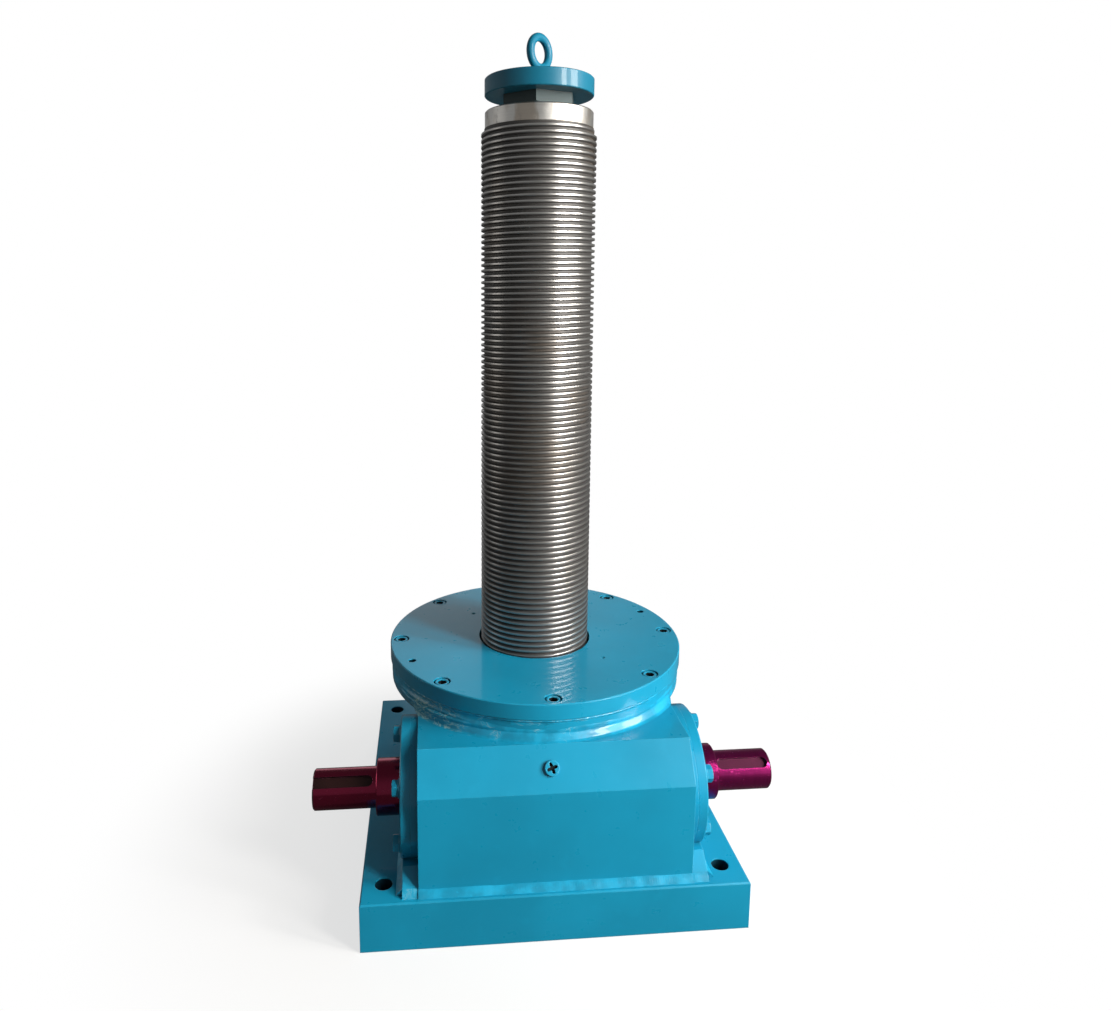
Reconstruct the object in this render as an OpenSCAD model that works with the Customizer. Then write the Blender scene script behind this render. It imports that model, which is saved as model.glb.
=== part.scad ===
// Worm screw jack: a worm turns a wheel with an internal thread, and the wheel drives
// a lifting screw straight up through a round top cover.
// Frame: +Z up, origin on the screw axis at the underside of the base plate, -Y to the front.

/* [Base plate] */
// Width of the base plate across the worm shaft direction
base_w = 615; // [600:5:700]
// Thickness of the base plate
base_t = 80; // [60:2:100]
// Ledge of the base plate in front of the housing
base_front_ledge = 16; // [10:1:40]
// Ledge of the base plate behind the housing
base_rear_ledge = 25; // [20:1:60]
// Diameter of the four mounting holes
base_hole_d = 28; // [22:1:34]
// Distance from a hole's centre to the side edge
base_hole_side = 35; // [25:1:40]
// Distance from a hole's centre to the front or rear edge
base_hole_end = 45; // [35:1:60]

/* [Housing] */
// Width of the welded housing between its end faces
housing_w = 435; // [420:1:450]
// Height of the housing above the base plate
housing_h = 219; // [216:1:230]
// Height of the upright front face above the base plate
front_face_h = 160; // [140:1:180]
// Depth over which the sloping front facet runs back
slope_run = 42; // [30:1:60]
// Distance from the screw axis to the rear face
housing_back = 280; // [276:1:290]
// Plate thickness of the housing
wall = 20; // [14:1:24]
// Height of the machined neck ring that carries the cover
neck_h = 34; // [30:1:40]
// Leg length of the fillet welds
weld_leg = 10; // [6:1:12]

/* [Gears] */
// Axial module of the worm gearing
gear_module = 10; // [9.5:0.25:10.25]
// Number of worm wheel teeth
wheel_teeth = 28; // [26:1:28]
// Diameter factor of the worm
worm_q = 10; // [9:0.5:10]
// Face width of the toothed rim
wheel_face = 80; // [64:2:84]
// Length of the worm thread
worm_len = 150; // [120:2:160]
// Height of the worm axis above the base plate
worm_h = 104; // [100:1:108]
// Backlash on each flank of the teeth
flank_backlash = 0.6; // [0.35:0.05:0.8]

/* [Worm shaft] */
// Diameter of the two coupling ends
shaft_d = 65; // [55:1:75]
// Diameter of the bearing journals, seen outside as the shaft collars
journal_d = 90; // [84:1:95]
// Length of the left coupling end
left_end_len = 104; // [90:1:120]
// Length of the right coupling end
right_end_len = 97; // [90:1:120]
// Length of journal standing out of each bearing cover
collar_len = 41; // [25:1:45]
// Width of the keyways
key_w = 18; // [14:1:20]
// Depth of the keyways
key_depth = 7; // [5:0.5:8]
// Length of the right keyway
key_len = 88; // [60:1:90]
// Angle of the keyways above the horizontal, seen from the front
key_angle = 50; // [0:5:90]

/* [Bearing covers] */
// Diameter of the round bearing covers
end_cover_d = 224; // [218:1:236]
// Thickness of the bearing covers
end_cover_t = 16; // [12:1:20]
// Thickness of the welded boss ring behind each cover
boss_t = 12; // [8:1:16]
// Distance from a bolt's centre to the rim of the bearing cover
end_bolt_edge = 18; // [16:1:20]
// Thread diameter of the bearing cover bolts
end_bolt_d = 16; // [12:1:18]
// Height of the foot bars under the covers
foot_h = 31; // [24:1:36]

/* [Top cover] */
// Diameter of the top cover
cover_d = 540; // [530:2:560]
// Thickness of the top cover flange
cover_t = 28; // [24:1:36]
// Bolt circle of the top cover
cover_pcd = 500; // [494:1:504]
// Number of cover screws
cover_screws_n = 8; // [6:2:12]
// Thread diameter of the cover screws
cover_screw_d = 16; // [12:2:16]
// Diameter of the counterbores
counterbore_d = 29; // [27:1:32]
// Diameter of the opening round the screw
cover_bore_d = 208; // [205:1:214]
// Diameter of the threaded jack-out holes
jackout_d = 14; // [10:1:16]
// Radius at which the two grease screws sit
grease_r = 155; // [154:1:165]

/* [Lifting screw] */
// Outside diameter of the lifting screw
screw_d = 200; // [190:1:202]
// Thread pitch
pitch = 10; // [8:1:12]
// Number of thread turns
thread_turns = 125; // [100:1:130]
// Height of the lower end of the thread above the ground
screw_foot_z = 29.5; // [26:0.5:32]
// Length of the plain collar above the thread
plain_len = 28.5; // [20:0.5:40]
// Diameter of the stud that carries the lock nut and the top plate
stud_d = 80; // [60:1:90]
// Width across flats of the lock nut
lock_nut_af = 116; // [105:1:130]
// Height of the lock nut
lock_nut_h = 25.5; // [20:0.5:40]
// Turn of the lock nut about the screw axis
nut_turn = 18.5; // [0:0.5:60]
// Diameter of the top plate
top_plate_d = 188; // [150:1:200]
// Thickness of the top plate
top_plate_t = 28.5; // [20:0.5:40]
// Diameter of the stop collar at the foot of the screw
stop_d = 203; // [202:0.5:204]
// Thickness of the stop collar
stop_t = 20; // [14:1:22]

/* [Lifting eye] */
// Diameter of the eye's ring opening
eye_bore_d = 35; // [32:1:44]
// Thickness of the eye's ring
eye_ring_t = 14; // [12:1:18]
// Diameter of the eye's round foot
eye_foot_d = 35; // [34:1:50]
// Thread diameter of the lifting eye
eye_thread_d = 16; // [14:1:24]
// Turn of the ring about the screw axis
eye_turn = 44; // [0:1:180]

/* [Bearings] */
// Bore of the two thrust bearings
thrust_bore_d = 240; // [236:1:244]
// Outside diameter of the thrust bearings
thrust_od = 300; // [296:1:304]
// Height of the thrust bearings
thrust_h = 45; // [40:1:48]
// Diameter of the thrust bearing balls
thrust_ball_d = 22; // [20:0.5:24]
// Number of balls in each thrust bearing
thrust_balls_n = 28; // [20:1:30]
// Outside diameter of the worm's taper roller bearings
taper_od = 140; // [136:1:146]
// Width of the taper roller bearings
taper_w = 32; // [30:1:34]
// Number of taper rollers in each bearing
taper_rollers_n = 22; // [16:1:22]

/* [Hidden] */

fn_large = 128;
fn_small = 48;
eps = 0.01;

// Chamfers
edge = 1.5;         // machined rims and shaft ends
plate_edge = 2;     // edges of the base plate

// Clearances between mating pieces
slip = 0.05;        // shaft in bore, radial
seat_gap = 0.3;     // faces of bodies that turn against each other
pocket_gap = 0.2;   // balls and rollers in the pockets of their cages
roll_gap = 0.05;    // balls and rollers beside the race they belong to
mesh_gap = 2;       // tip of a tooth to the root it runs over
swing_gap = 10;     // worm wheel to the housing wall
hole_gap = 1.5;     // bolt holes, on the diameter

// Heights
base_top = base_t;
housing_top = base_top + housing_h;
cover_z = housing_top + neck_h;
cover_top = cover_z + cover_t;
worm_z = base_top + worm_h;

// Worm gearing, single-start and right-handed
worm_pitch_r = gear_module * worm_q / 2;
wheel_pitch_r = gear_module * wheel_teeth / 2;
centre_distance = worm_pitch_r + wheel_pitch_r;
worm_y = -centre_distance;
worm_lead = PI * gear_module;
worm_tip_r = worm_pitch_r + gear_module;
worm_root_r = worm_pitch_r - gear_module - mesh_gap;
wheel_root_r = wheel_pitch_r - gear_module - mesh_gap;
wheel_throat_r = worm_pitch_r - gear_module;
wheel_tip_r = wheel_pitch_r + 1.8 * gear_module;
pressure_angle = 20;
lead_angle = atan(1 / worm_q);
worm_half_tooth = worm_lead / 4;

// Housing
cover_margin = 17;  // front plate in front of the bearing covers' rims
housing_front = centre_distance + end_cover_d / 2 + cover_margin;
front_z = base_top + front_face_h;
slope_angle = atan2(housing_top - front_z, slope_run);
chamber_r = wheel_tip_r + swing_gap;
neck_bore_r = chamber_r + 12;
neck_top_r = cover_d / 2 - 3;
neck_foot_r = neck_top_r - 2;

// Base plate
base_front = housing_front + base_front_ledge;
base_back = housing_back + base_rear_ledge;
base_depth = base_front + base_back;
base_mid_y = (base_back - base_front) / 2;
base_hole_dx = base_w / 2 - base_hole_side;
base_hole_dy = base_depth / 2 - base_hole_end;
base_bore_d = stop_d + 4;

// Thrust bearings and the hubs of the worm wheel
thrust_recess = 6;
washer_t = (thrust_h - 12) / 2;
ball_track_r = (thrust_bore_d + thrust_od) / 4;
washer_step = 4;    // a washer keeps this much, on the diameter, off the body it turns against
lower_bearing_z = base_top - thrust_recess;
lower_shoulder_z = lower_bearing_z + thrust_h;
upper_shoulder_z = worm_z + wheel_face / 2 + 10;
upper_bearing_top = upper_shoulder_z + thrust_h;
lower_ball_z = lower_bearing_z + thrust_h / 2;
upper_ball_z = upper_shoulder_z + thrust_h / 2;
hub_r = thrust_bore_d / 2 - slip;
shoulder_r = thrust_bore_d / 2 + 15;
hub_lower_z = lower_bearing_z + 3;
hub_upper_z = upper_bearing_top + 5;
nut_bore_r = screw_d / 2 + 0.3;

// Top cover
spigot_r = neck_bore_r - slip;
spigot_bottom = upper_bearing_top - washer_t;
bush_r = cover_bore_d / 2 + 10;
bush_bottom = hub_upper_z + 4;
wiper_depth = 26;
wiper_z = cover_top - wiper_depth;
wiper_t = 10;
head_d = 1.5 * cover_screw_d;
counterbore_depth = cover_screw_d + 1;
cover_screw_len = cover_t - counterbore_depth + cover_screw_d;
jackout_angle = 180 / cover_screws_n;
grease_angle = 135;
grease_d = 8;
grease_depth = 30;
grease_screw_len = 12;
grease_screw_sink = 1;
grease_socket = 5;

// Worm shaft and its bearings, mirrored about the screw axis plane
boss_x = housing_w / 2 + boss_t;
cover_x = boss_x + end_cover_t;
shaft_x = cover_x + collar_len;
left_end_x = -shaft_x - left_end_len;
right_end_x = shaft_x + right_end_len;
end_bolt_pcd = end_cover_d - 2 * end_bolt_edge;
end_bolt_reach = 1.5 * end_bolt_d;
cover_spigot = 10;
seal_od = journal_d + 24;
seal_w = 12;
taper_out_x = boss_x - cover_spigot;
taper_in_x = taper_out_x - taper_w;
shoulder_d = journal_d + 14;
worm_runout = 8;
end_chamfer = 2.5;
foot_top = base_top + foot_h;
foot_x = housing_w / 2 + 25;
foot_slope = 0.8 * foot_h;
foot_half = end_cover_d / 2 + cover_margin - 2;
filler_x = -8;
filler_d = 14;
filler_collar_d = 24;
cover_flat_z = foot_top + 0.5;
bearing_tube_r = taper_od / 2 + 18;
key_end_gap = 6;
left_key_len = key_len + 10;

// Taper geometry: every cone shares an apex outside the bearing
cone_angle = 12.5;
cup_angle = 15.5;
roller_mid_r = (taper_od + journal_d) / 4;
roller_len = taper_w - 10;
roller_angle = (cone_angle + cup_angle) / 2;
roller_half = (cup_angle - cone_angle) / 2;
apex_dist = roller_mid_r / tan(roller_angle);
taper_mid = taper_w / 2;

// Lifting screw
thread_depth = 0.5 * pitch + 0.5;
screw_root_d = screw_d - 2 * thread_depth;
crest_w = 0.366 * pitch;
flank_w = thread_depth * tan(15);
thread_top = screw_foot_z + pitch * thread_turns;
plain_top = thread_top + plain_len;
nut_top = plain_top + lock_nut_h;
plate_top = nut_top + top_plate_t;
plain_d = screw_root_d - 2;
stud_len = lock_nut_h + top_plate_t - 6;

// Screws that hold the stop collar
stop_screw_d = 12;
stop_screws_n = 6;
stop_screw_r = 0.3 * screw_root_d;
stop_seat_z = screw_foot_z - stop_t + stop_screw_d + 0.5;
stop_screw_reach = 22;

// Lifting eye
eye_ring_r = (eye_bore_d + eye_ring_t) / 2;
eye_foot_h = 20;
eye_centre = plate_top + eye_foot_h + eye_ring_r;
eye_reach = 1.2 * eye_thread_d;
eye_hole = 1.5 * eye_thread_d;

// ---------- shared shapes ----------

module tube(h, ro, ri) {
    difference() {
        cylinder(h = h, r = ro, $fn = fn_large);
        translate([0, 0, -1]) cylinder(h = h + 2, r = ri, $fn = fn_large);
    }
}

// Disc with a chamfered upper rim, and a chamfered lower rim unless low is 0
module disc(h, r, low = edge) {
    rotate_extrude($fn = fn_large) polygon(concat(
        [[0, 0]], low > 0 ? [[r - low, 0]] : [], [[r, low], [r, h - edge], [r - edge, h], [0, h]]
    ));
}

// Half of a plate's outline across its thickness, chamfered at the upper edge
function plate_outline(a, b, h, c) = [[a, 0], [b, 0], [b, h - c], [b - c, h], [a + c, h], [a, h - c]];

// Turns a shape built along +Z so that it runs outward along the worm axis, to the
// right (side 1) or mirrored to the left (side -1). The shape's +X points down.
module on_worm_axis(side) {
    mirror([side < 0 ? 1 : 0, 0, 0]) translate([0, worm_y, worm_z]) rotate([0, 90, 0]) children();
}

module ring_of(n, r, start = 0) {
    for (i = [0:n - 1]) rotate([0, 0, start + i * 360 / n]) translate([r, 0, 0]) children();
}

module hex_prism(af, h) {
    cylinder(h = h, d = af / cos(30), $fn = 6);
}

// Cap screw standing on its seat at z = 0, thread pointing down
module cap_screw(d, len) {
    difference() {
        union() {
            cylinder(h = d - 0.8, d = 1.5 * d, $fn = fn_small);
            translate([0, 0, d - 0.8]) cylinder(h = 0.8, d1 = 1.5 * d, d2 = 1.5 * d - 1.6, $fn = fn_small);
            translate([0, 0, -len]) cylinder(h = len + eps, d = d, $fn = fn_small);
        }
        translate([0, 0, d / 2]) hex_prism(0.85 * d, d);
    }
}

// ---------- base and housing ----------

module base_plate() color("#1f8fb5") difference() {
    intersection() {
        translate([0, base_back, 0]) rotate([90, 0, 0]) linear_extrude(base_depth)
            polygon(plate_outline(-base_w / 2, base_w / 2, base_t, plate_edge));
        translate([-base_w / 2, 0, 0]) rotate([90, 0, 90]) linear_extrude(base_w)
            polygon(plate_outline(-base_front, base_back, base_t, plate_edge));
    }
    translate([0, 0, -1]) cylinder(h = base_t + 2, d = base_bore_d, $fn = fn_large);
    translate([0, 0, lower_bearing_z]) cylinder(h = base_t, d = thrust_od + 2 * slip, $fn = fn_large);
    for (x = [-1, 1], y = [-1, 1])
        translate([x * base_hole_dx, base_mid_y + y * base_hole_dy, -1])
            cylinder(h = base_t + 2, d = base_hole_d, $fn = fn_small);
}

// Side outline of the housing, set in by t all round, as [y, z] points
function housing_outline(t) = [
    [-housing_front + t, base_top],
    [-housing_front + t, front_z - t * tan((90 - slope_angle) / 2)],
    [-housing_front + slope_run + t * tan(slope_angle / 2), housing_top - t],
    [housing_back - t, housing_top - t],
    [housing_back - t, base_top]
];

module housing_prism(t, w) {
    translate([-w / 2, 0, 0]) rotate([90, 0, 90]) linear_extrude(w) polygon(housing_outline(t));
}

module neck_ring() {
    rotate_extrude($fn = fn_large) polygon([
        [neck_bore_r, housing_top - wall], [neck_bore_r, cover_z], [neck_top_r, cover_z],
        [neck_top_r, cover_z - neck_h / 2], [neck_foot_r, housing_top],
        [neck_bore_r + 12, housing_top], [neck_bore_r + 12, housing_top - wall]
    ]);
}

module boss_ring(side) {
    intersection() {
        on_worm_axis(side) translate([0, 0, housing_w / 2 - eps])
            cylinder(h = boss_t + eps, d = end_cover_d, $fn = fn_large);
        translate([-housing_w, worm_y - end_cover_d, cover_flat_z])
            cube([2 * housing_w, 2 * end_cover_d, 2 * end_cover_d]);
    }
}

// Bar under a bearing cover, upright at its ends for the weld and sloping above it
module foot_bar(side) {
    translate([side > 0 ? housing_w / 2 : -foot_x, worm_y, base_top]) rotate([90, 0, 90])
        linear_extrude(foot_x - housing_w / 2) polygon([
            [-foot_half, 0], [foot_half, 0], [foot_half, weld_leg], [foot_half - foot_slope, foot_h],
            [-foot_half + foot_slope, foot_h], [-foot_half, weld_leg]
        ]);
}

// Five of six places on the bolt circle: the lowest one is left out above the foot bar
module end_bolt_places(side) {
    on_worm_axis(side) for (a = [60:60:300]) rotate([0, 0, a]) translate([end_bolt_pcd / 2, 0, 0]) children();
}

module gear_housing() color("#2596be") difference() {
    union() {
        difference() {
            housing_prism(0, housing_w);
            housing_prism(wall, housing_w - 2 * wall);
        }
        neck_ring();
        for (side = [-1, 1]) {
            boss_ring(side);
            on_worm_axis(side) translate([0, 0, taper_in_x - 14])
                cylinder(h = housing_w / 2 - taper_in_x + 14 - eps, r = bearing_tube_r, $fn = fn_large);
            foot_bar(side);
        }
    }
    translate([0, 0, base_top - 1]) cylinder(h = neck_h + housing_h + 2, r = neck_bore_r, $fn = fn_large);
    for (side = [-1, 1]) {
        on_worm_axis(side) translate([0, 0, taper_in_x - 15])
            cylinder(h = housing_w, d = taper_od + 2 * slip, $fn = fn_large);
        end_bolt_places(side) translate([0, 0, boss_x - end_bolt_reach - 2])
            cylinder(h = end_bolt_reach + boss_t, d = end_bolt_d, $fn = fn_small);
    }
    ring_of(cover_screws_n, cover_pcd / 2) translate([0, 0, cover_z - cover_screw_d - 1])
        cylinder(h = neck_h + cover_t, d = cover_screw_d, $fn = fn_small);
    filler_place() translate([0, 0, -wall - 5]) cylinder(h = wall + 10, d = filler_d, $fn = fn_small);
}

// Fillet welds: a triangular bead along each joint
module bead_line(p, q, leg, turn) {
    d = q - p;
    translate([p[0], p[1], p[2]]) rotate([0, 0, atan2(d[1], d[0])]) rotate([90, 0, 90])
        linear_extrude(norm(d))
            polygon(turn > 0 ? [[0, 0], [leg, 0], [0, leg]] : [[0, 0], [0, leg], [-leg, 0]]);
}

module weld_beads() color("#2fa3c8") {
    hx = housing_w / 2;
    bead_line([-hx, -housing_front, base_top], [hx, -housing_front, base_top], weld_leg, -1);
    bead_line([-hx, housing_back, base_top], [hx, housing_back, base_top], weld_leg, 1);
    for (side = [-1, 1]) {
        y0 = worm_y - foot_half;
        y1 = worm_y + foot_half;
        bead_line([side * hx, y0, base_top], [side * foot_x, y0, base_top], weld_leg, -side);
        bead_line([side * foot_x, y0, base_top], [side * foot_x, y1, base_top], weld_leg, -side);
        bead_line([side * foot_x, y1, base_top], [side * hx, y1, base_top], weld_leg, -side);
        bead_line([side * hx, y1, base_top], [side * hx, housing_back, base_top], weld_leg, -side);
    }
    intersection() {
        translate([0, 0, housing_top]) rotate_extrude($fn = fn_large)
            polygon([[neck_foot_r, 0], [neck_foot_r + weld_leg, 0], [neck_foot_r + 2, 6]]);
        translate([-hx, -housing_front, housing_top - 1])
            cube([housing_w, housing_front + housing_back, weld_leg + 2]);
    }
}

// ---------- top cover ----------

module top_cover() color("#2596be") difference() {
    union() {
        translate([0, 0, cover_z]) disc(cover_t, cover_d / 2);
        translate([0, 0, spigot_bottom])
            cylinder(h = cover_z - spigot_bottom + eps, r = spigot_r, $fn = fn_large);
    }
    translate([0, 0, spigot_bottom - 1])
        cylinder(h = washer_t + 1, d = thrust_od + 2 * slip, $fn = fn_large);
    translate([0, 0, spigot_bottom - 1])
        cylinder(h = bush_bottom - spigot_bottom + 1, d = thrust_bore_d + 12, $fn = fn_large);
    translate([0, 0, bush_bottom - 1])
        cylinder(h = wiper_z + wiper_t - bush_bottom + 1, r = bush_r, $fn = fn_large);
    translate([0, 0, cover_z]) cylinder(h = cover_t + 1, d = cover_bore_d, $fn = fn_large);
    ring_of(cover_screws_n, cover_pcd / 2) {
        translate([0, 0, cover_z - 1]) cylinder(h = cover_t + 2, d = cover_screw_d + hole_gap, $fn = fn_small);
        translate([0, 0, cover_top - counterbore_depth])
            cylinder(h = counterbore_depth + 1, d = counterbore_d, $fn = fn_small);
    }
    ring_of(2, cover_pcd / 2 - 3, jackout_angle) translate([0, 0, cover_z - 1])
        cylinder(h = cover_t + 2, d = jackout_d, $fn = fn_small);
    ring_of(2, grease_r, grease_angle) translate([0, 0, cover_top - grease_depth])
        cylinder(h = grease_depth + 1, d = grease_d, $fn = fn_small);
}

module cover_screws() color("#3a4a52")
    ring_of(cover_screws_n, cover_pcd / 2) translate([0, 0, cover_top - counterbore_depth])
        cap_screw(cover_screw_d, cover_screw_len);

module grease_screws() color("#30383c") ring_of(2, grease_r, grease_angle)
    translate([0, 0, cover_top - grease_screw_sink - grease_screw_len]) difference() {
        cylinder(h = grease_screw_len, d = grease_d, $fn = fn_small);
        translate([0, 0, grease_screw_len - grease_socket]) hex_prism(grease_d / 2, grease_socket + 1);
    }

module guide_bush() color("#b08d4a")
    translate([0, 0, bush_bottom]) tube(wiper_z - bush_bottom, bush_r, nut_bore_r);

module wiper_ring() color("#22262a")
    translate([0, 0, wiper_z]) difference() {
        cylinder(h = wiper_t, r = bush_r, $fn = fn_large);
        translate([0, 0, -1]) cylinder(h = wiper_t + 2, r = nut_bore_r, $fn = fn_large);
        translate([0, 0, wiper_t - 3])
            cylinder(h = 4, r1 = nut_bore_r, r2 = nut_bore_r + 5, $fn = fn_large);
    }

// The middle of the sloping facet, with +Z out of it
module filler_place() {
    translate([filler_x, -housing_front + slope_run / 2, (front_z + housing_top) / 2])
        rotate([slope_angle, 0, 0]) children();
}

module filler_plug() color("#2a2f33") filler_place() difference() {
    union() {
        translate([0, 0, -wall]) cylinder(h = wall + eps, d = filler_d, $fn = fn_small);
        cylinder(h = 5, d = filler_collar_d, $fn = fn_small);
    }
    translate([0, 0, -4]) hex_prism(8, 12);
}

// ---------- bearing covers ----------

module bearing_cover(side) {
    difference() {
        intersection() {
            on_worm_axis(side) union() {
                translate([0, 0, boss_x]) disc(end_cover_t, end_cover_d / 2, low = 0);
                translate([0, 0, taper_out_x])
                    cylinder(h = cover_spigot + eps, d = taper_od, $fn = fn_large);
            }
            translate([-2 * housing_w, worm_y - end_cover_d, cover_flat_z])
                cube([4 * housing_w, 2 * end_cover_d, 2 * end_cover_d]);
        }
        on_worm_axis(side) {
            translate([0, 0, taper_out_x - 1])
                cylinder(h = end_cover_t + cover_spigot, d = journal_d + 8, $fn = fn_large);
            translate([0, 0, cover_x - seal_w]) cylinder(h = seal_w + 1, d = seal_od, $fn = fn_large);
        }
        end_bolt_places(side) translate([0, 0, boss_x - 1])
            cylinder(h = end_cover_t + 2, d = end_bolt_d + hole_gap, $fn = fn_small);
    }
}

module left_bearing_cover() color("#2596be") bearing_cover(-1);
module right_bearing_cover() color("#2596be") bearing_cover(1);

module hex_bolt(d, grip) {
    head_h = 0.63 * d;
    intersection() {
        hex_prism(1.5 * d, head_h);
        cylinder(h = head_h, d1 = 1.5 * d + 2 * head_h + 3, d2 = 1.5 * d + 0.6, $fn = fn_small);
    }
    translate([0, 0, -grip]) cylinder(h = grip + eps, d = d, $fn = fn_small);
}

module cover_bolts(side) {
    end_bolt_places(side) translate([0, 0, cover_x]) hex_bolt(end_bolt_d, end_cover_t + end_bolt_reach);
}

module left_cover_bolts() color("#2fa3c8") cover_bolts(-1);
module right_cover_bolts() color("#2fa3c8") cover_bolts(1);

module shaft_seal(side) {
    on_worm_axis(side) translate([0, 0, cover_x - seal_w]) difference() {
        cylinder(h = seal_w - 2, d = seal_od, $fn = fn_large);
        translate([0, 0, -1]) cylinder(h = seal_w, d = journal_d + 2 * slip, $fn = fn_large);
        translate([0, 0, -1]) cylinder(h = seal_w - 5, d = journal_d + 12, $fn = fn_large);
    }
}

module left_shaft_seal() color("#1c1f22") shaft_seal(-1);
module right_shaft_seal() color("#1c1f22") shaft_seal(1);

// ---------- taper roller bearings ----------

// Radius of a cone from the shared apex, at distance x from the bearing's inner face
function taper_r(x, angle) = (taper_mid + apex_dist - x) * tan(angle);

module bearing_cup(side) {
    a = cup_angle;
    x0 = taper_w - 24;
    on_worm_axis(side) translate([0, 0, taper_in_x]) rotate_extrude($fn = fn_large) polygon([
        [taper_od / 2, x0], [taper_od / 2, taper_w],
        [taper_r(taper_w, a) + seat_gap, taper_w], [taper_r(x0, a) + seat_gap, x0]
    ]);
}

module bearing_cone(side) {
    a = cone_angle;
    on_worm_axis(side) translate([0, 0, taper_in_x]) rotate_extrude($fn = fn_large) polygon([
        [journal_d / 2, 0], [taper_r(0, a) + 4, 0], [taper_r(4, a) + 4, 4], [taper_r(4, a) - roll_gap, 4],
        [taper_r(taper_w - 3, a) - roll_gap, taper_w - 3], [taper_r(taper_w, a) + 1, taper_w - 3],
        [taper_r(taper_w, a) + 1, taper_w], [journal_d / 2, taper_w]
    ]);
}

// One roller on its slanted axis; grow widens it for the cage pockets
module taper_roller(grow = 0) {
    apex = taper_mid + apex_dist;
    mid = roller_mid_r / sin(roller_angle);
    r_big = (mid + roller_len / 2) * tan(roller_half);
    r_small = (mid - roller_len / 2) * tan(roller_half);
    translate([0, 0, apex]) rotate([0, 180 - roller_angle, 0])
        translate([0, 0, mid - roller_len / 2 - grow])
            cylinder(h = roller_len + 2 * grow, r1 = r_small + grow, r2 = r_big + grow, $fn = fn_small);
}

module bearing_rollers(side) {
    on_worm_axis(side) translate([0, 0, taper_in_x])
        for (i = [0:taper_rollers_n - 1]) rotate([0, 0, i * 360 / taper_rollers_n]) taper_roller();
}

module roller_cage(side) {
    a = roller_angle;
    on_worm_axis(side) translate([0, 0, taper_in_x]) difference() {
        rotate_extrude($fn = fn_large) polygon([
            [taper_r(1, a) + 2.4, 1], [taper_r(1, a) + 4.2, 1],
            [taper_r(taper_w - 1, a) + 2.4, taper_w - 1], [taper_r(taper_w - 1, a) + 0.6, taper_w - 1]
        ]);
        for (i = [0:taper_rollers_n - 1]) rotate([0, 0, i * 360 / taper_rollers_n]) taper_roller(pocket_gap);
    }
}

module left_bearing_cup() color("#b9bec2") bearing_cup(-1);
module right_bearing_cup() color("#b9bec2") bearing_cup(1);
module left_bearing_cone() color("#b9bec2") bearing_cone(-1);
module right_bearing_cone() color("#b9bec2") bearing_cone(1);
module left_bearing_rollers() color("#d5d8da") bearing_rollers(-1);
module right_bearing_rollers() color("#d5d8da") bearing_rollers(1);
module left_roller_cage() color("#8b9094") roller_cage(-1);
module right_roller_cage() color("#8b9094") roller_cage(1);

// ---------- thrust bearings ----------

// Washer standing at z = 0 with its ball groove in the top face, gap off the balls
module thrust_washer(od, bore, gap) {
    difference() {
        tube(washer_t, od / 2, bore / 2);
        translate([0, 0, thrust_h / 2]) rotate_extrude($fn = fn_large)
            translate([ball_track_r, 0]) circle(r = thrust_ball_d / 2 + gap, $fn = fn_small);
    }
}

module housing_washer(gap) {
    thrust_washer(thrust_od, thrust_bore_d + washer_step, gap);
}

module wheel_washer(gap) {
    thrust_washer(thrust_od - washer_step, thrust_bore_d, gap);
}

module ball_set() {
    ring_of(thrust_balls_n, ball_track_r) sphere(d = thrust_ball_d, $fn = fn_small);
}

module ball_cage() {
    difference() {
        translate([0, 0, -2.5]) tube(5, ball_track_r + 14, ball_track_r - 13);
        ring_of(thrust_balls_n, ball_track_r) sphere(r = thrust_ball_d / 2 + pocket_gap, $fn = fn_small);
    }
}

module lower_thrust_washer() color("#b9bec2") translate([0, 0, lower_bearing_z]) housing_washer(roll_gap);
module lower_wheel_washer() color("#b9bec2")
    translate([0, 0, lower_shoulder_z]) mirror([0, 0, 1]) wheel_washer(seat_gap);
module upper_wheel_washer() color("#b9bec2") translate([0, 0, upper_shoulder_z]) wheel_washer(roll_gap);
module upper_thrust_washer() color("#b9bec2")
    translate([0, 0, upper_bearing_top]) mirror([0, 0, 1]) housing_washer(seat_gap);
module lower_thrust_balls() color("#d5d8da") translate([0, 0, lower_ball_z]) ball_set();
module upper_thrust_balls() color("#d5d8da") translate([0, 0, upper_ball_z]) ball_set();
module lower_thrust_cage() color("#b08d4a") translate([0, 0, lower_ball_z]) ball_cage();
module upper_thrust_cage() color("#b08d4a") translate([0, 0, upper_ball_z]) ball_cage();

// ---------- worm wheel ----------

function involute(a) = tan(a) * 180 / PI - a;
// Half the angle of a tooth gap at radius r of the wheel
function gap_half_angle(r) =
    180 / wheel_teeth - (90 / wheel_teeth + involute(pressure_angle)
    - involute(acos(min(1, wheel_pitch_r * cos(pressure_angle) / r))));
function gap_half_width(r) = r * sin(gap_half_angle(max(r, wheel_base_r))) + flank_backlash;
wheel_base_r = wheel_pitch_r * cos(pressure_angle);

// Outline of one tooth gap: root, involute flanks and open top, as [across, radius]
gap_steps = 5;
gap_top_r = wheel_tip_r + 3;
gap_radii = [for (i = [0:gap_steps]) wheel_root_r + (gap_top_r - wheel_root_r) * i / gap_steps];
gap_outline = concat(
    [for (r = gap_radii) [gap_half_width(r), r]],
    [for (i = [gap_steps:-1:0]) [-gap_half_width(gap_radii[i]), gap_radii[i]]]
);

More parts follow.
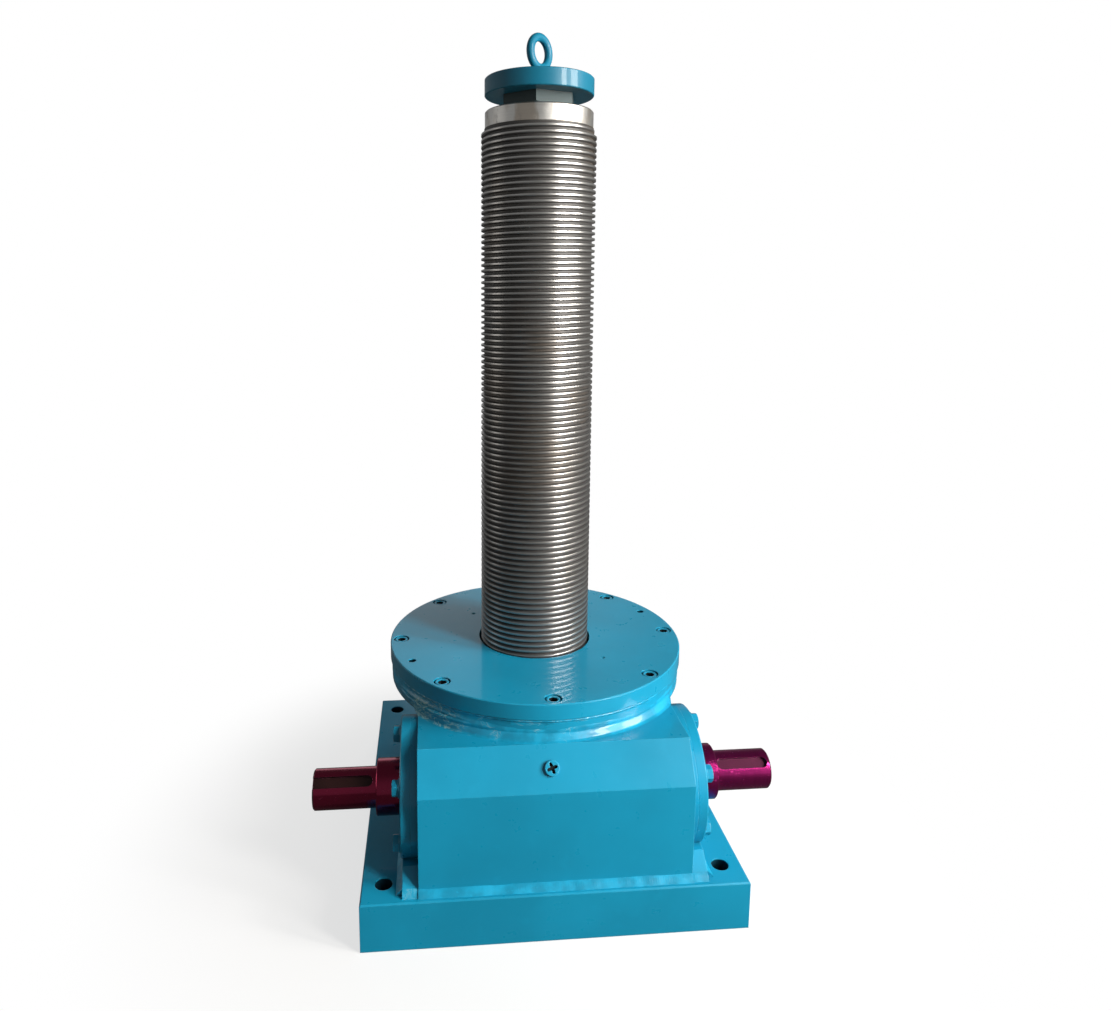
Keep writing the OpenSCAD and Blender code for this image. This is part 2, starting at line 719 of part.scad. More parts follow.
module wheel_blank() {
    throat_z = sqrt(pow(wheel_throat_r, 2) - pow(centre_distance - wheel_tip_r, 2));
    rotate_extrude($fn = fn_large) polygon(concat(
        [[nut_bore_r, hub_lower_z - worm_z], [hub_r, hub_lower_z - worm_z],
         [hub_r, lower_shoulder_z - worm_z], [shoulder_r, lower_shoulder_z - worm_z],
         [shoulder_r, -wheel_face / 2], [wheel_tip_r - 4, -wheel_face / 2],
         [wheel_tip_r, -wheel_face / 2 + 4]],
        [for (i = [-4:4]) let (z = throat_z * i / 4)
            [centre_distance - sqrt(pow(wheel_throat_r, 2) - z * z), z]],
        [[wheel_tip_r, wheel_face / 2 - 4], [wheel_tip_r - 4, wheel_face / 2],
         [shoulder_r, wheel_face / 2], [shoulder_r, upper_shoulder_z - worm_z],
         [hub_r, upper_shoulder_z - worm_z], [hub_r, hub_upper_z - worm_z],
         [nut_bore_r, hub_upper_z - worm_z]]
    ));
}

module worm_wheel() color("#b8873a") translate([0, 0, worm_z]) difference() {
    wheel_blank();
    for (i = [0:wheel_teeth - 1]) rotate([0, 0, 180 + i * 360 / wheel_teeth])
        rotate([0, -lead_angle, 0]) translate([0, 0, -wheel_face / 2 - 5])
            linear_extrude(wheel_face + 10) polygon(gap_outline);
}

// ---------- worm shaft ----------

worm_seg = 32;
thread_base_r = worm_root_r - 1.5;
thread_steps = floor(worm_len / worm_lead * worm_seg);
thread_half_turns = thread_steps / 2;

function thread_half(r) = worm_half_tooth + (worm_pitch_r - r) * tan(pressure_angle);
function thread_rise(i) = min(1, min(i, thread_steps - i) / (worm_seg / 4));
function thread_crest(i) = thread_base_r + 3 + (worm_tip_r - thread_base_r - 3) * thread_rise(i);

// One section of the worm thread, its middle on the helix at step i
function thread_section(i) =
    let (a = 360 * (i - thread_half_turns) / worm_seg, x = worm_lead * a / 360, top = thread_crest(i))
    [for (p = [[-thread_half(thread_base_r), thread_base_r], [-thread_half(top), top],
               [thread_half(top), top], [thread_half(thread_base_r), thread_base_r]])
        [x + p[0], p[1] * cos(a), p[1] * sin(a)]];

module worm_thread() {
    points = [for (i = [0:thread_steps]) each thread_section(i)];
    sides = [for (i = [0:thread_steps - 1], j = [0:3])
        let (a = 4 * i + j, b = 4 * i + (j + 1) % 4)
        each [[a, b, b + 4], [a, b + 4, a + 4]]];
    last = 4 * thread_steps;
    polyhedron(points, concat(sides, [[0, 3, 2, 1], [last, last + 1, last + 2, last + 3]]));
}

module half_shaft(end_len) {
    core = worm_len / 2 + worm_runout;
    end_x = shaft_x + end_len;
    rotate_extrude($fn = fn_large) polygon([
        [0, 0], [worm_root_r, 0], [worm_root_r, core], [shoulder_d / 2, core + shoulder_d / 2 - worm_root_r],
        [shoulder_d / 2, taper_in_x - edge], [shoulder_d / 2 - edge, taper_in_x],
        [journal_d / 2 - slip, taper_in_x], [journal_d / 2 - slip, shaft_x - edge],
        [journal_d / 2 - edge, shaft_x], [shaft_d / 2, shaft_x],
        [shaft_d / 2, end_x - end_chamfer], [shaft_d / 2 - end_chamfer, end_x], [0, end_x]
    ]);
}

// Slot with round ends along +X, its floor key_depth below the surface, on the side
// of the shaft that faces front and up
module keyway(x0, x1) {
    translate([0, worm_y, worm_z]) rotate([90 - key_angle, 0, 0]) translate([0, 0, shaft_d / 2 - key_depth])
        union() {
            translate([x0, -key_w / 2, 0]) cube([x1 - x0, key_w, shaft_d]);
            for (x = [x0, x1]) translate([x, 0, 0]) cylinder(h = shaft_d, d = key_w, $fn = fn_small);
        }
}

module worm_shaft() color("#8a1848") difference() {
    union() {
        on_worm_axis(-1) half_shaft(left_end_len);
        on_worm_axis(1) half_shaft(right_end_len);
        translate([0, worm_y, worm_z]) worm_thread();
    }
    keyway(right_end_x - key_end_gap - key_len + key_w / 2, right_end_x - key_end_gap - key_w / 2);
    keyway(left_end_x - key_w, left_end_x + left_key_len - key_w / 2);
}

// ---------- lifting screw ----------

// Thread as a stack of equal ridges; each turn gives its root, flank and crest corners
function thread_points() = [for (i = [0:thread_turns - 1])
    let (z = screw_foot_z + pitch * (i + 0.5), r = screw_d / 2, rr = screw_root_d / 2)
    each [[rr, z - crest_w / 2 - flank_w], [r, z - crest_w / 2],
          [r, z + crest_w / 2], [rr, z + crest_w / 2 + flank_w]]];

module lifting_screw() color("#5d6164") difference() {
    rotate_extrude($fn = fn_large) polygon(concat(
        [[0, screw_foot_z], [screw_root_d / 2 - 2, screw_foot_z]],
        thread_points(),
        [[plain_d / 2, thread_top], [plain_d / 2, plain_top - 2], [plain_d / 2 - 2, plain_top],
         [stud_d / 2, plain_top], [stud_d / 2, plain_top + stud_len], [0, plain_top + stud_len]]
    ));
    translate([0, 0, plain_top + stud_len - eye_hole])
        cylinder(h = eye_hole + 1, d = eye_thread_d + 2 * slip, $fn = fn_small);
    ring_of(stop_screws_n, stop_screw_r) translate([0, 0, screw_foot_z - 1])
        cylinder(h = stop_screw_reach + 4, d = stop_screw_d + 2 * slip, $fn = fn_small);
}

module stop_collar() color("#4a4e52") difference() {
    translate([0, 0, screw_foot_z - stop_t]) disc(stop_t, stop_d / 2);
    ring_of(stop_screws_n, stop_screw_r) {
        translate([0, 0, screw_foot_z - stop_t - 1])
            cylinder(h = stop_t + 2, d = stop_screw_d + hole_gap, $fn = fn_small);
        translate([0, 0, screw_foot_z - stop_t - 1])
            cylinder(h = stop_seat_z - screw_foot_z + stop_t + 1, d = 1.5 * stop_screw_d + 2, $fn = fn_small);
    }
}

module stop_screws() color("#2f3437")
    ring_of(stop_screws_n, stop_screw_r) translate([0, 0, stop_seat_z]) mirror([0, 0, 1])
        cap_screw(stop_screw_d, screw_foot_z - stop_seat_z + stop_screw_reach);

module lock_nut() color("#a9adb0") translate([0, 0, plain_top]) difference() {
    rotate([0, 0, nut_turn]) intersection() {
        hex_prism(lock_nut_af, lock_nut_h);
        cylinder(h = lock_nut_h, r1 = lock_nut_af / 2 + edge, r2 = lock_nut_af / 2 + lock_nut_h, $fn = fn_large);
    }
    translate([0, 0, -1]) cylinder(h = lock_nut_h + 2, d = stud_d + 2 * slip, $fn = fn_large);
}

module top_plate() color("#2596be") translate([0, 0, nut_top]) difference() {
    disc(top_plate_t, top_plate_d / 2);
    translate([0, 0, -1]) cylinder(h = stud_len - lock_nut_h + 1, d = stud_d + 2 * slip, $fn = fn_large);
    translate([0, 0, -1]) cylinder(h = top_plate_t + 2, d = eye_thread_d + 1, $fn = fn_small);
}

module eye_bolt() color("#2596be") {
    foot_r = eye_foot_d / 2;
    translate([0, 0, plate_top - eye_reach]) cylinder(h = eye_reach + eps, d = eye_thread_d, $fn = fn_small);
    translate([0, 0, plate_top]) rotate_extrude($fn = fn_small) polygon([
        [0, 0], [foot_r, 0], [foot_r, eye_foot_h / 2], [foot_r - edge, eye_foot_h / 2 + edge],
        [0.55 * foot_r, eye_foot_h + edge], [0, eye_foot_h + edge]
    ]);
    translate([0, 0, eye_centre]) rotate([90, 0, eye_turn]) rotate_extrude($fn = fn_small)
        translate([eye_ring_r, 0]) circle(d = eye_ring_t, $fn = fn_small);
}

base_plate();
gear_housing();
weld_beads();
top_cover();
cover_screws();
grease_screws();
guide_bush();
wiper_ring();
filler_plug();
left_bearing_cover();
right_bearing_cover();
left_cover_bolts();
right_cover_bolts();
left_shaft_seal();
right_shaft_seal();
left_bearing_cup();
right_bearing_cup();
lower_thrust_washer();
lower_thrust_cage();
lower_thrust_balls();
upper_thrust_washer();
worm_wheel();
lower_wheel_washer();
upper_wheel_washer();
upper_thrust_cage();
upper_thrust_balls();
worm_shaft();
left_bearing_cone();
right_bearing_cone();
left_bearing_rollers();
right_bearing_rollers();
left_roller_cage();
right_roller_cage();
lifting_screw();
stop_collar();
stop_screws();
lock_nut();
top_plate();
eye_bolt();
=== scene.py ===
import math
import random

import bpy
from bpy.props import FloatProperty, FloatVectorProperty, IntProperty, PointerProperty
from mathutils import Matrix, Vector, noise


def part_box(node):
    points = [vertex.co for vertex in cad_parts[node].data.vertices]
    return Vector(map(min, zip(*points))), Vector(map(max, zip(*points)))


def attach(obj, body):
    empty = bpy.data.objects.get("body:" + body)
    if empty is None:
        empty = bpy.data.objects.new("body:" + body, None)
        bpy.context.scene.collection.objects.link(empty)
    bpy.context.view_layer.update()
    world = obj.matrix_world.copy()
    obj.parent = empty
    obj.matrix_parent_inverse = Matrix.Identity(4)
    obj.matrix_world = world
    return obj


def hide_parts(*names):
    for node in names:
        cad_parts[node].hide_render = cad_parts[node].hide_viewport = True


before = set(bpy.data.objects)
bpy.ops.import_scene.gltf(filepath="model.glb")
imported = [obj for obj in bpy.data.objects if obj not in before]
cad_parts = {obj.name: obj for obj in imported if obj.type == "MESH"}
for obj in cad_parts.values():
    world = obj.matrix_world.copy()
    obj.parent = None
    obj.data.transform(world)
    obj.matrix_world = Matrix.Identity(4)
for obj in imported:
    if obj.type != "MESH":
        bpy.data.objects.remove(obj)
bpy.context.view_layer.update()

bl_info = {
    "name": "Worm Screw Jack",
    "version": (1, 0, 0),
    "blender": (4, 5, 0),
    "location": "View3D > Sidebar > Screw Jack",
    "description": "Cuts the thread, lays the welds, fits the fasteners and paints a worm screw jack",
    "category": "Object",
}

MM = 0.001

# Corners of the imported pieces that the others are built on
screw_low, screw_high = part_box("lifting_screw")
plate_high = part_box("base_plate")[1]
cover_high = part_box("top_cover")[1]
bolts_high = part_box("right_cover_bolts")[1]
weld_low, weld_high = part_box("weld_beads")
bearing_cover_low, bearing_cover_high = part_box("right_bearing_cover")
shaft_low, shaft_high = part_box("worm_shaft")
SHAFT_Y = (shaft_low.y + shaft_high.y) / 2
SHAFT_Z = (shaft_low.z + shaft_high.z) / 2

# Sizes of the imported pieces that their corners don't tell
BASE_HOLE_X = 272.5 * MM
BASE_HOLES_Y = (-290 * MM, 260 * MM)
BASE_HOLE_RADIUS = 14 * MM
COVER_THICKNESS = 28 * MM
COVER_SCREWS = 8
JACKOUT_CIRCLE = 247 * MM
JACKOUT_TURN = math.radians(22.5)
JACKOUT_RADIUS = 7 * MM
SLOPE_RUN = 42 * MM
SLOPE_TILT = math.radians(54.55)
KEYWAY_FLOOR = 31.2 * MM
SHAFT_SKIN = 32.3 * MM
BOLT_PLACES = 6
BOLT_INSET = 18 * MM
FOOT_MARGIN = 15 * MM

# Colours of small parts and of the light
GROUND_STEEL = (0.62, 0.63, 0.64)
OILED_STEEL = (0.22, 0.22, 0.23)
BLACKENED_STEEL = (0.055, 0.058, 0.062)
# Oiled steel of the lock nut, darkened and tinted teal: painted shade under the top plate and painted
# reflection of the turquoise round it
SHADED_OILY_NUT = (0.030, 0.050, 0.054)
WARM_LIGHT = (1.0, 0.97, 0.91)


# ---------- sizes and colours ----------

def length_property(label, about, millimetres):
    """A length that can be set in the panel."""
    return FloatProperty(name=label, description=about, default=millimetres * MM, unit="LENGTH")


def colour_property(label, about, red_green_blue):
    """A colour that can be set in the panel."""
    return FloatVectorProperty(
        name=label, description=about, subtype="COLOR", default=red_green_blue, min=0, max=1)


class JackSizes(bpy.types.PropertyGroup):
    """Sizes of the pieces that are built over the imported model"""
    thread_pitch: length_property("Thread pitch", "Rise of the lifting thread in one turn", 10)
    thread_turns: IntProperty(
        name="Thread turns", description="Number of turns of the lifting thread", default=125)
    thread_depth: length_property("Thread depth", "Height of the thread over its root", 5.5)
    plain_length: length_property("Plain collar", "Length of the bright collar over the thread", 28.5)
    stud_radius: length_property("Stud radius", "Radius of the stud under the top plate", 40)
    weld_leg: length_property("Weld leg", "Leg length of the fillet welds", 10)
    weld_ripple: length_property("Weld ripple", "Distance from one ripple of a weld to the next", 4)
    housing_half_width: length_property(
        "Housing half width", "From the middle to an end face of the housing", 217.5)
    neck_radius: length_property("Neck radius", "Radius of the neck under the top cover", 266)
    neck_height: length_property(
        "Neck height", "Height of the neck between the housing and the top cover", 34)
    screw_head: length_property("Cap screw", "Thread diameter of the cover's cap screws", 16)
    shaft_end: length_property("Shaft end", "Length of the right coupling end of the worm shaft", 97)
    bolt_flats: length_property("Bolt head", "Width across flats of the bearing covers' bolts", 24)


class JackColours(bpy.types.PropertyGroup):
    """Colours of the paint, the lacquer and the metals"""
    paint: colour_property(
        "Paint", "Enamel of the housing, the plates and the eye", (0.006, 0.246, 0.410))
    lacquer: colour_property("Lacquer", "Tinted lacquer of the worm shaft", (0.36, 0.016, 0.150))
    thread: colour_property("Thread", "Oiled steel of the lifting thread", (0.27, 0.26, 0.26))
    bright: colour_property(
        "Bright steel", "Freshly turned steel of the plain collar", (0.60, 0.585, 0.565))
    bronze: colour_property("Bronze", "Worm wheel, bush and cages", (0.56, 0.35, 0.14))


def sizes():
    return bpy.context.scene.jack_sizes


def colours():
    return bpy.context.scene.jack_colours


# ---------- shader expressions ----------

class Socket:
    """An output of a shader node that can be used in Python expressions."""

    def __init__(self, graph, link):
        self.graph = graph
        self.link = link

    def __add__(self, other):
        return self.graph.math("ADD", self, other)

    def __radd__(self, other):
        return self.graph.math("ADD", other, self)

    def __sub__(self, other):
        return self.graph.math("SUBTRACT", self, other)

    def __rsub__(self, other):
        return self.graph.math("SUBTRACT", other, self)

    def __mul__(self, other):
        return self.graph.math("MULTIPLY", self, other)

    def __rmul__(self, other):
        return self.graph.math("MULTIPLY", other, self)

    def __truediv__(self, other):
        return self.graph.math("DIVIDE", self, other)

    def __pow__(self, other):
        return self.graph.math("POWER", self, other)

    def between(self, low, high):
        """0 below low, 1 above high, and smooth from one to the other."""
        return self.graph.node(
            "ShaderNodeMapRange", {"Value": self, "From Min": low, "From Max": high},
            interpolation_type="SMOOTHSTEP", clamp=True)


class Graph:
    """The node tree of one material or world."""

    def __init__(self, owner):
        owner.use_nodes = True
        self.owner = owner
        self.tree = owner.node_tree
        self.tree.nodes.clear()

    def node(self, kind, inputs=None, output=0, **settings):
        """Adds a node with its inputs and settings, and returns one of its outputs. A colour of three
        numbers gets its alpha."""
        new = self.tree.nodes.new(kind)
        for key, value in settings.items():
            setattr(new, key, value)
        for key, value in (inputs or {}).items():
            if isinstance(value, Socket):
                self.tree.links.new(value.link, new.inputs[key])
            elif hasattr(value, "__len__") and len(value) == 3 and len(new.inputs[key].default_value) == 4:
                new.inputs[key].default_value = (*value, 1.0)
            else:
                new.inputs[key].default_value = value
        return Socket(self, new.outputs[output]) if new.outputs else None

    def math(self, operation, left, right=0.0):
        return self.node("ShaderNodeMath", {0: left, 1: right}, operation=operation)

    def length(self, x, y):
        """Length of the vector (x, y)."""
        return self.math("SQRT", x ** 2 + y ** 2)

    def place(self, stretch=(1, 1, 1)):
        """Position on the piece at rest, stretched along the three axes."""
        spot = self.node("ShaderNodeTexCoord", output="Object")
        return self.node("ShaderNodeVectorMath", {0: spot, 1: stretch}, operation="MULTIPLY")

    def axes(self, vector):
        """The x, y and z of a vector."""
        split = self.node("ShaderNodeSeparateXYZ", {0: vector})
        outputs = split.link.node.outputs
        return [Socket(self, outputs[i]) for i in range(3)]

    def noise(self, scale, detail=3.0, rough=0.5, stretch=(1, 1, 1), swirl=0.0):
        """Soft clouds from 0 to 1, with swirl to draw them out into strands."""
        return self.node("ShaderNodeTexNoise", {
            "Vector": self.place(stretch), "Scale": scale, "Detail": detail, "Roughness": rough,
            "Distortion": swirl})

    def specks(self, scale, size):
        """Small round spots, 1 in the middle of each and 0 outside."""
        cells = self.node("ShaderNodeTexVoronoi", {"Vector": self.place(), "Scale": scale}, feature="F1")
        return 1 - cells.between(0.0, size)

    def mix(self, factor, first, second):
        """The first colour where the factor is 0, the second where it is 1."""
        return self.node("ShaderNodeMix", {0: factor, 6: first, 7: second}, output=2, data_type="RGBA")

    def blend(self, factor, first, second):
        """The first shader where the factor is 0, the second where it is 1."""
        return self.node("ShaderNodeMixShader", {0: factor, 1: first, 2: second})

    def bump(self, height, distance, strength, under=None):
        """A normal that follows a height, over another normal if there is one."""
        inputs = {"Height": height, "Distance": distance, "Strength": strength}
        if under is not None:
            inputs["Normal"] = under
        return self.node("ShaderNodeBump", inputs)

    def corners(self, reach):
        """1 on open surfaces, towards 0 in corners and grooves."""
        return self.node("ShaderNodeAmbientOcclusion", {"Distance": reach}, output=1, samples=6)

    def edges(self, radius):
        """The normal over a slightly rounded edge, and a mask that is 1 on sharp edges."""
        soft = self.node("ShaderNodeBevel", {"Radius": radius}, samples=4)
        flat = self.node("ShaderNodeNewGeometry", output=1)
        alike = self.node("ShaderNodeVectorMath", {0: soft, 1: flat}, output=1, operation="DOT_PRODUCT")
        return soft, 1 - alike.between(0.82, 0.99)

    def surface(self, **sockets):
        """The principled surface, with its sockets by name, linked to the material's output."""
        shader = self.node("ShaderNodeBsdfPrincipled", sockets)
        self.node("ShaderNodeOutputMaterial", {"Surface": shader})
        return self.owner


def material_graph(name):
    return Graph(bpy.data.materials.new(name))


def shade(colour, factor):
    """A colour made darker or lighter."""
    return tuple(min(1.0, c * factor) for c in colour)


# ---------- finishes ----------

def enamel(name="turquoise_enamel", depth=1.0, gloss=1.0, holes=(), holes_top=0.0):
    """Thick sprayed machine enamel: uneven film, orange peel, dust nibs, dirt with painted shade in the
    corners and a painted highlight on the edges. Bores at holes, given as (x, y, radius), are filled
    with painted shade, below the face at holes_top."""
    g = material_graph(name)
    paint = shade(colours().paint, depth)
    x, y, z = g.axes(g.place())
    cloud = g.noise(5.0, 4.0)
    patch = g.noise(38.0, 3.0, 0.6)
    tone = g.mix(cloud.between(0.35, 0.68), shade(paint, 0.93), shade(paint, 1.07))
    tone = g.mix(patch.between(0.56, 0.74) * 0.25, tone, shade(paint, 1.15))
    # Dirt and painted shade: the paint darkens in corners and creases, by how occluded they are
    corner_grime_and_shade = 1 - g.corners(12 * MM).between(0.22, 0.80)
    tone = g.mix(corner_grime_and_shade * 0.5, tone, shade(paint, 0.36))
    nib = g.specks(210.0, 0.09) * g.noise(14.0, 2.0).between(0.58, 0.70)
    tone = g.mix(nib * 0.10, tone, shade(paint, 0.5))
    rounded, edge = g.edges(1.6 * MM)
    # Painted highlight: a paler, bluer tone along the sharp edges
    tone = g.mix(edge * patch.between(0.35, 0.60) * 0.55, tone, (0.10, 0.44, 0.60))
    # Painted shade: each bore is near black from just below the face downwards
    for centre_x, centre_y, radius in holes:
        reach = g.length(x - centre_x, y - centre_y)
        shaded_bore = 1 - reach.between(radius - 0.1 * MM, radius + 0.5 * MM)
        below = 1 - z.between(holes_top - 2.5 * MM, holes_top - 0.6 * MM)
        tone = g.mix(shaded_bore * below * 0.97, tone, (0.004, 0.006, 0.008))
    height = g.noise(520.0, 2.0, 0.55) * 0.08 + g.noise(26.0, 2.0, 0.45) * 1.0 + nib * 0.35
    return g.surface(**{
        "Base Color": tone,
        "Roughness": 0.24 + 0.22 * (1 - gloss) + patch * 0.10 + corner_grime_and_shade * 0.22,
        "Specular IOR Level": 0.3,
        "Normal": g.bump(height, 0.4 * MM, 0.5, rounded),
        "Coat Weight": 0.5 * gloss,
        "Coat Roughness": 0.04,
    })


def weld_enamel():
    """Enamel over the welds: lumpy and wet, with spatter, and pale threads of filler drawn over
    the neck's left front and the left foot."""
    g = material_graph("enamelled_weld")
    paint = colours().paint
    x, y, z = g.axes(g.place())
    reach = g.length(x, y)
    lumps = g.noise(150.0, 4.0, 0.62)
    swell = g.noise(40.0, 3.0, 0.5)
    tone = g.mix(swell.between(0.35, 0.65), shade(paint, 0.85), shade(paint, 1.2))
    tone = g.mix(lumps.between(0.60, 0.72) * 0.3, tone, shade(paint, 1.6))
    # Dirt and painted shade: the weld's paint darkens in corners, by how occluded they are
    corner_grime_and_shade = 1 - g.corners(8 * MM).between(0.22, 0.80)
    tone = g.mix(corner_grime_and_shade * 0.5, tone, shade(paint, 0.30))
    on_neck = z.between(weld_high.z - 16 * MM, weld_high.z - 6 * MM)
    corner = ((x * -0.731 + y * -0.682) / reach).between(0.962, 0.992) * on_neck
    front = ((x * -0.30 + y * -0.954) / reach).between(0.80, 0.96) * on_neck
    foot = (x * -1).between(0.205, 0.225) * (1 - z.between(0.112, 0.118))
    long = g.noise(34.0, 3.0, 0.55, (1, 1, 2.2), swirl=1.6)
    short = g.noise(95.0, 3.0, 0.5, (1, 1, 1.4), swirl=0.8)
    threads = (1 - g.math("ABSOLUTE", long - 0.5) * 30.0).between(0.0, 0.9)
    strands = (1 - g.math("ABSOLUTE", short - 0.5) * 16.0).between(0.0, 0.9)
    patches = g.noise(20.0, 3.0, 0.6)
    drawn = corner + foot * 0.3
    web = (threads * 0.6 + strands * patches.between(0.48, 0.62) * 0.5) * drawn
    web = web + threads * patches.between(0.50, 0.60) * front * 0.4
    haze = patches.between(0.42, 0.66) * drawn
    tone = g.mix(haze * 0.45, tone, (0.050, 0.17, 0.18))
    tone = g.mix(g.math("MINIMUM", web, 0.8), tone, (0.33, 0.52, 0.50))
    height = swell * 0.9 + lumps * 0.5 + web * 0.4
    return g.surface(**{
        "Base Color": tone,
        "Roughness": 0.30 + swell * 0.08 + web * 0.25,
        "Specular IOR Level": 0.3,
        "Normal": g.bump(height, 0.4 * MM, 0.55),
        "Coat Weight": 0.3,
        "Coat Roughness": 0.05,
    })


def tinted_lacquer():
    """Glossy tinted lacquer over turned steel, with bare oily steel in the left keyway."""
    g = material_graph("crimson_lacquer")
    tint = colours().lacquer
    x, y, z = g.axes(g.place())
    radius = g.length(y - SHAFT_Y, z - SHAFT_Z)
    step = shaft_high.x - sizes().shaft_end
    outside = g.math("ABSOLUTE", x).between(step + 1 * MM, step + 2 * MM)
    ends = x.between(shaft_low.x + 0.4 * MM, shaft_low.x + 1.0 * MM) * (
        1 - x.between(shaft_high.x - 1.0 * MM, shaft_high.x - 0.4 * MM))
    keyway = (1 - radius.between(KEYWAY_FLOOR, SHAFT_SKIN)) * outside * ends
    right_half = x.between(-0.1, 0.1)
    bare = keyway * (1 - right_half)
    streak = g.noise(9.0, 4.0, 0.6, (60, 1, 1))
    cloud = g.noise(24.0, 3.0)
    scuff = g.noise(70.0, 5.0, 0.7, (1, 2, 2)).between(0.60, 0.72)
    rounded, edge = g.edges(0.8 * MM)
    tone = g.mix(streak.between(0.3, 0.7), shade(tint, 0.9), shade(tint, 1.1))
    tone = g.mix(cloud.between(0.45, 0.75) * 0.4, tone, shade(tint, 1.35))
    # Painted light and shade: the left half is tinted darker and redder, for the different light on that
    # side
    tone = g.mix(right_half, (0.30, 0.018, 0.060), tone)
    tone = g.mix(scuff * 0.12, tone, (0.55, 0.20, 0.36))
    tone = g.mix(keyway * 0.9, tone, g.mix(scuff, shade(tint, 0.08), shade(tint, 0.25)))
    tone = g.mix(bare, tone, g.mix(cloud, (0.020, 0.007, 0.007), (0.070, 0.022, 0.022)))
    # Painted highlight: a paler pink along the sharp edges of the shaft's ends
    tone = g.mix(edge * outside * 0.4, tone, (0.60, 0.16, 0.36))
    rings = g.noise(3.0, 2.0, 0.5, (420, 1, 1))
    return g.surface(**{
        "Base Color": tone,
        "Metallic": 0.96 - keyway * 0.3,
        "Roughness": 0.17 + cloud * 0.08 + scuff * 0.14 + keyway * 0.2,
        "Normal": g.bump(rings * 0.3 + cloud * 0.8, 0.10 * MM, 0.4, rounded),
        "Coat Weight": 0.15,
        "Coat Roughness": 0.08,
    })


def oiled_thread():
    """Machined steel under a film of dark grease, worn bright on the crests."""
    g = material_graph("oiled_thread_steel")
    steel = colours().thread
    x, y, _ = g.axes(g.place())
    radius = g.length(x, y)
    crest = radius.between(screw_high.x - 1.3 * MM, screw_high.x - 0.25 * MM)
    root = 1 - radius.between(screw_high.x - 5.2 * MM, screw_high.x - 2.2 * MM)
    streak = g.noise(30.0, 4.0, 0.6, (1, 1, 5))
    cloud = g.noise(7.0, 3.0)
    tone = g.mix(streak, shade(steel, 0.72), shade(steel, 1.28))
    tone = g.mix(crest * (0.30 + 0.45 * cloud), tone, shade(colours().bright, 0.86))
    tone = g.mix(root * 0.85, tone, (0.016, 0.014, 0.012))
    tone = g.mix(cloud.between(0.50, 0.70) * 0.40, tone, (0.13, 0.100, 0.074))
    return g.surface(**{
        "Base Color": tone,
        "Metallic": 0.92 - root * 0.5,
        "Roughness": 0.30 + streak * 0.14 - crest * 0.05 + root * 0.12,
        "Normal": g.bump(g.noise(240.0, 3.0, 0.6, (1, 1, 6)), 0.12 * MM, 0.5),
    })


def turned_steel(name, colour, roughness, ring_axis, stain):
    """Bright turned steel with fine tool rings round one axis and brownish runs of oil."""
    g = material_graph(name)
    stretch = [1, 1, 1]
    stretch[ring_axis] = 300
    rings = g.noise(3.0, 3.0, 0.6, tuple(stretch))
    cloud = g.noise(30.0, 4.0, 0.6, (1, 1, 0.3))
    blot = g.noise(45.0, 4.0, 0.65)
    tone = g.mix(rings, shade(colour, 0.86), shade(colour, 1.10))
    tone = g.mix(cloud.between(0.46, 0.62) * stain, tone, (0.34, 0.26, 0.19))
    tone = g.mix(blot.between(0.58, 0.72) * stain, tone, shade(colour, 0.45))
    return g.surface(**{
        "Base Color": tone,
        "Metallic": 1.0,
        "Roughness": roughness + rings * 0.10 + blot.between(0.5, 0.8) * 0.18,
        "Normal": g.bump(rings + cloud * stain * 8, 0.12 * MM, 0.5),
    })


def plain_steel(name, colour, roughness, metallic):
    """Steel of bolts and small parts, with soft blotches, and dirt with painted shade in the corners."""
    g = material_graph(name)
    cloud = g.noise(60.0, 4.0, 0.6)
    fine = g.noise(420.0, 2.0, 0.5)
    tone = g.mix(cloud, shade(colour, 0.7), shade(colour, 1.25))
    # Dirt and painted shade: darker in corners, by how occluded they are
    tone = g.mix((1 - g.corners(4 * MM).between(0.3, 0.9)) * 0.6, tone, shade(colour, 0.25))
    return g.surface(**{
        "Base Color": tone,
        "Metallic": metallic,
        "Roughness": roughness + cloud * 0.15,
        "Normal": g.bump(fine, 0.08 * MM, 0.5),
    })


def cast_bronze():
    """Machined bronze with faint turning and slight tarnish."""
    g = material_graph("machined_bronze")
    metal = colours().bronze
    cloud = g.noise(22.0, 4.0, 0.6)
    rings = g.noise(3.0, 2.0, 0.5, (1, 1, 240))
    tone = g.mix(rings, shade(metal, 0.88), shade(metal, 1.12))
    tone = g.mix(cloud.between(0.5, 0.75) * 0.45, tone, shade(metal, 0.5))
    return g.surface(**{
        "Base Color": tone,
        "Metallic": 1.0,
        "Roughness": 0.28 + cloud * 0.18,
        "Normal": g.bump(rings, 0.10 * MM, 0.5),
    })


def seal_rubber():
    """Dark oil-resistant rubber with a slight sheen."""
    g = material_graph("seal_rubber")
    cloud = g.noise(90.0, 3.0)
    tone = g.mix(cloud, (0.010, 0.011, 0.013), (0.028, 0.030, 0.034))
    return g.surface(**{
        "Base Color": tone,
        "Roughness": 0.48 + cloud * 0.15,
        "Normal": g.bump(g.noise(700.0, 2.0), 0.05 * MM, 0.5),
    })


def recess_shade():
    """Painted shade: near black, for the shade deep in a hexagon socket or the filler plug's recess."""
    g = material_graph("recess_shade")
    cloud = g.noise(300.0, 3.0)
    return g.surface(**{
        "Base Color": g.mix(cloud, (0.002, 0.004, 0.006), (0.006, 0.010, 0.013)),
        "Roughness": 0.6 + cloud * 0.2,
        "Specular IOR Level": 0.2,
    })


finishes = {}


def finish(make, *arguments):
    """Makes a finish once and hands out the same material after that."""
    key = (make.__name__, arguments)
    if key not in finishes:
        finishes[key] = make(*arguments)
    return finishes[key]


# ---------- mesh helpers ----------

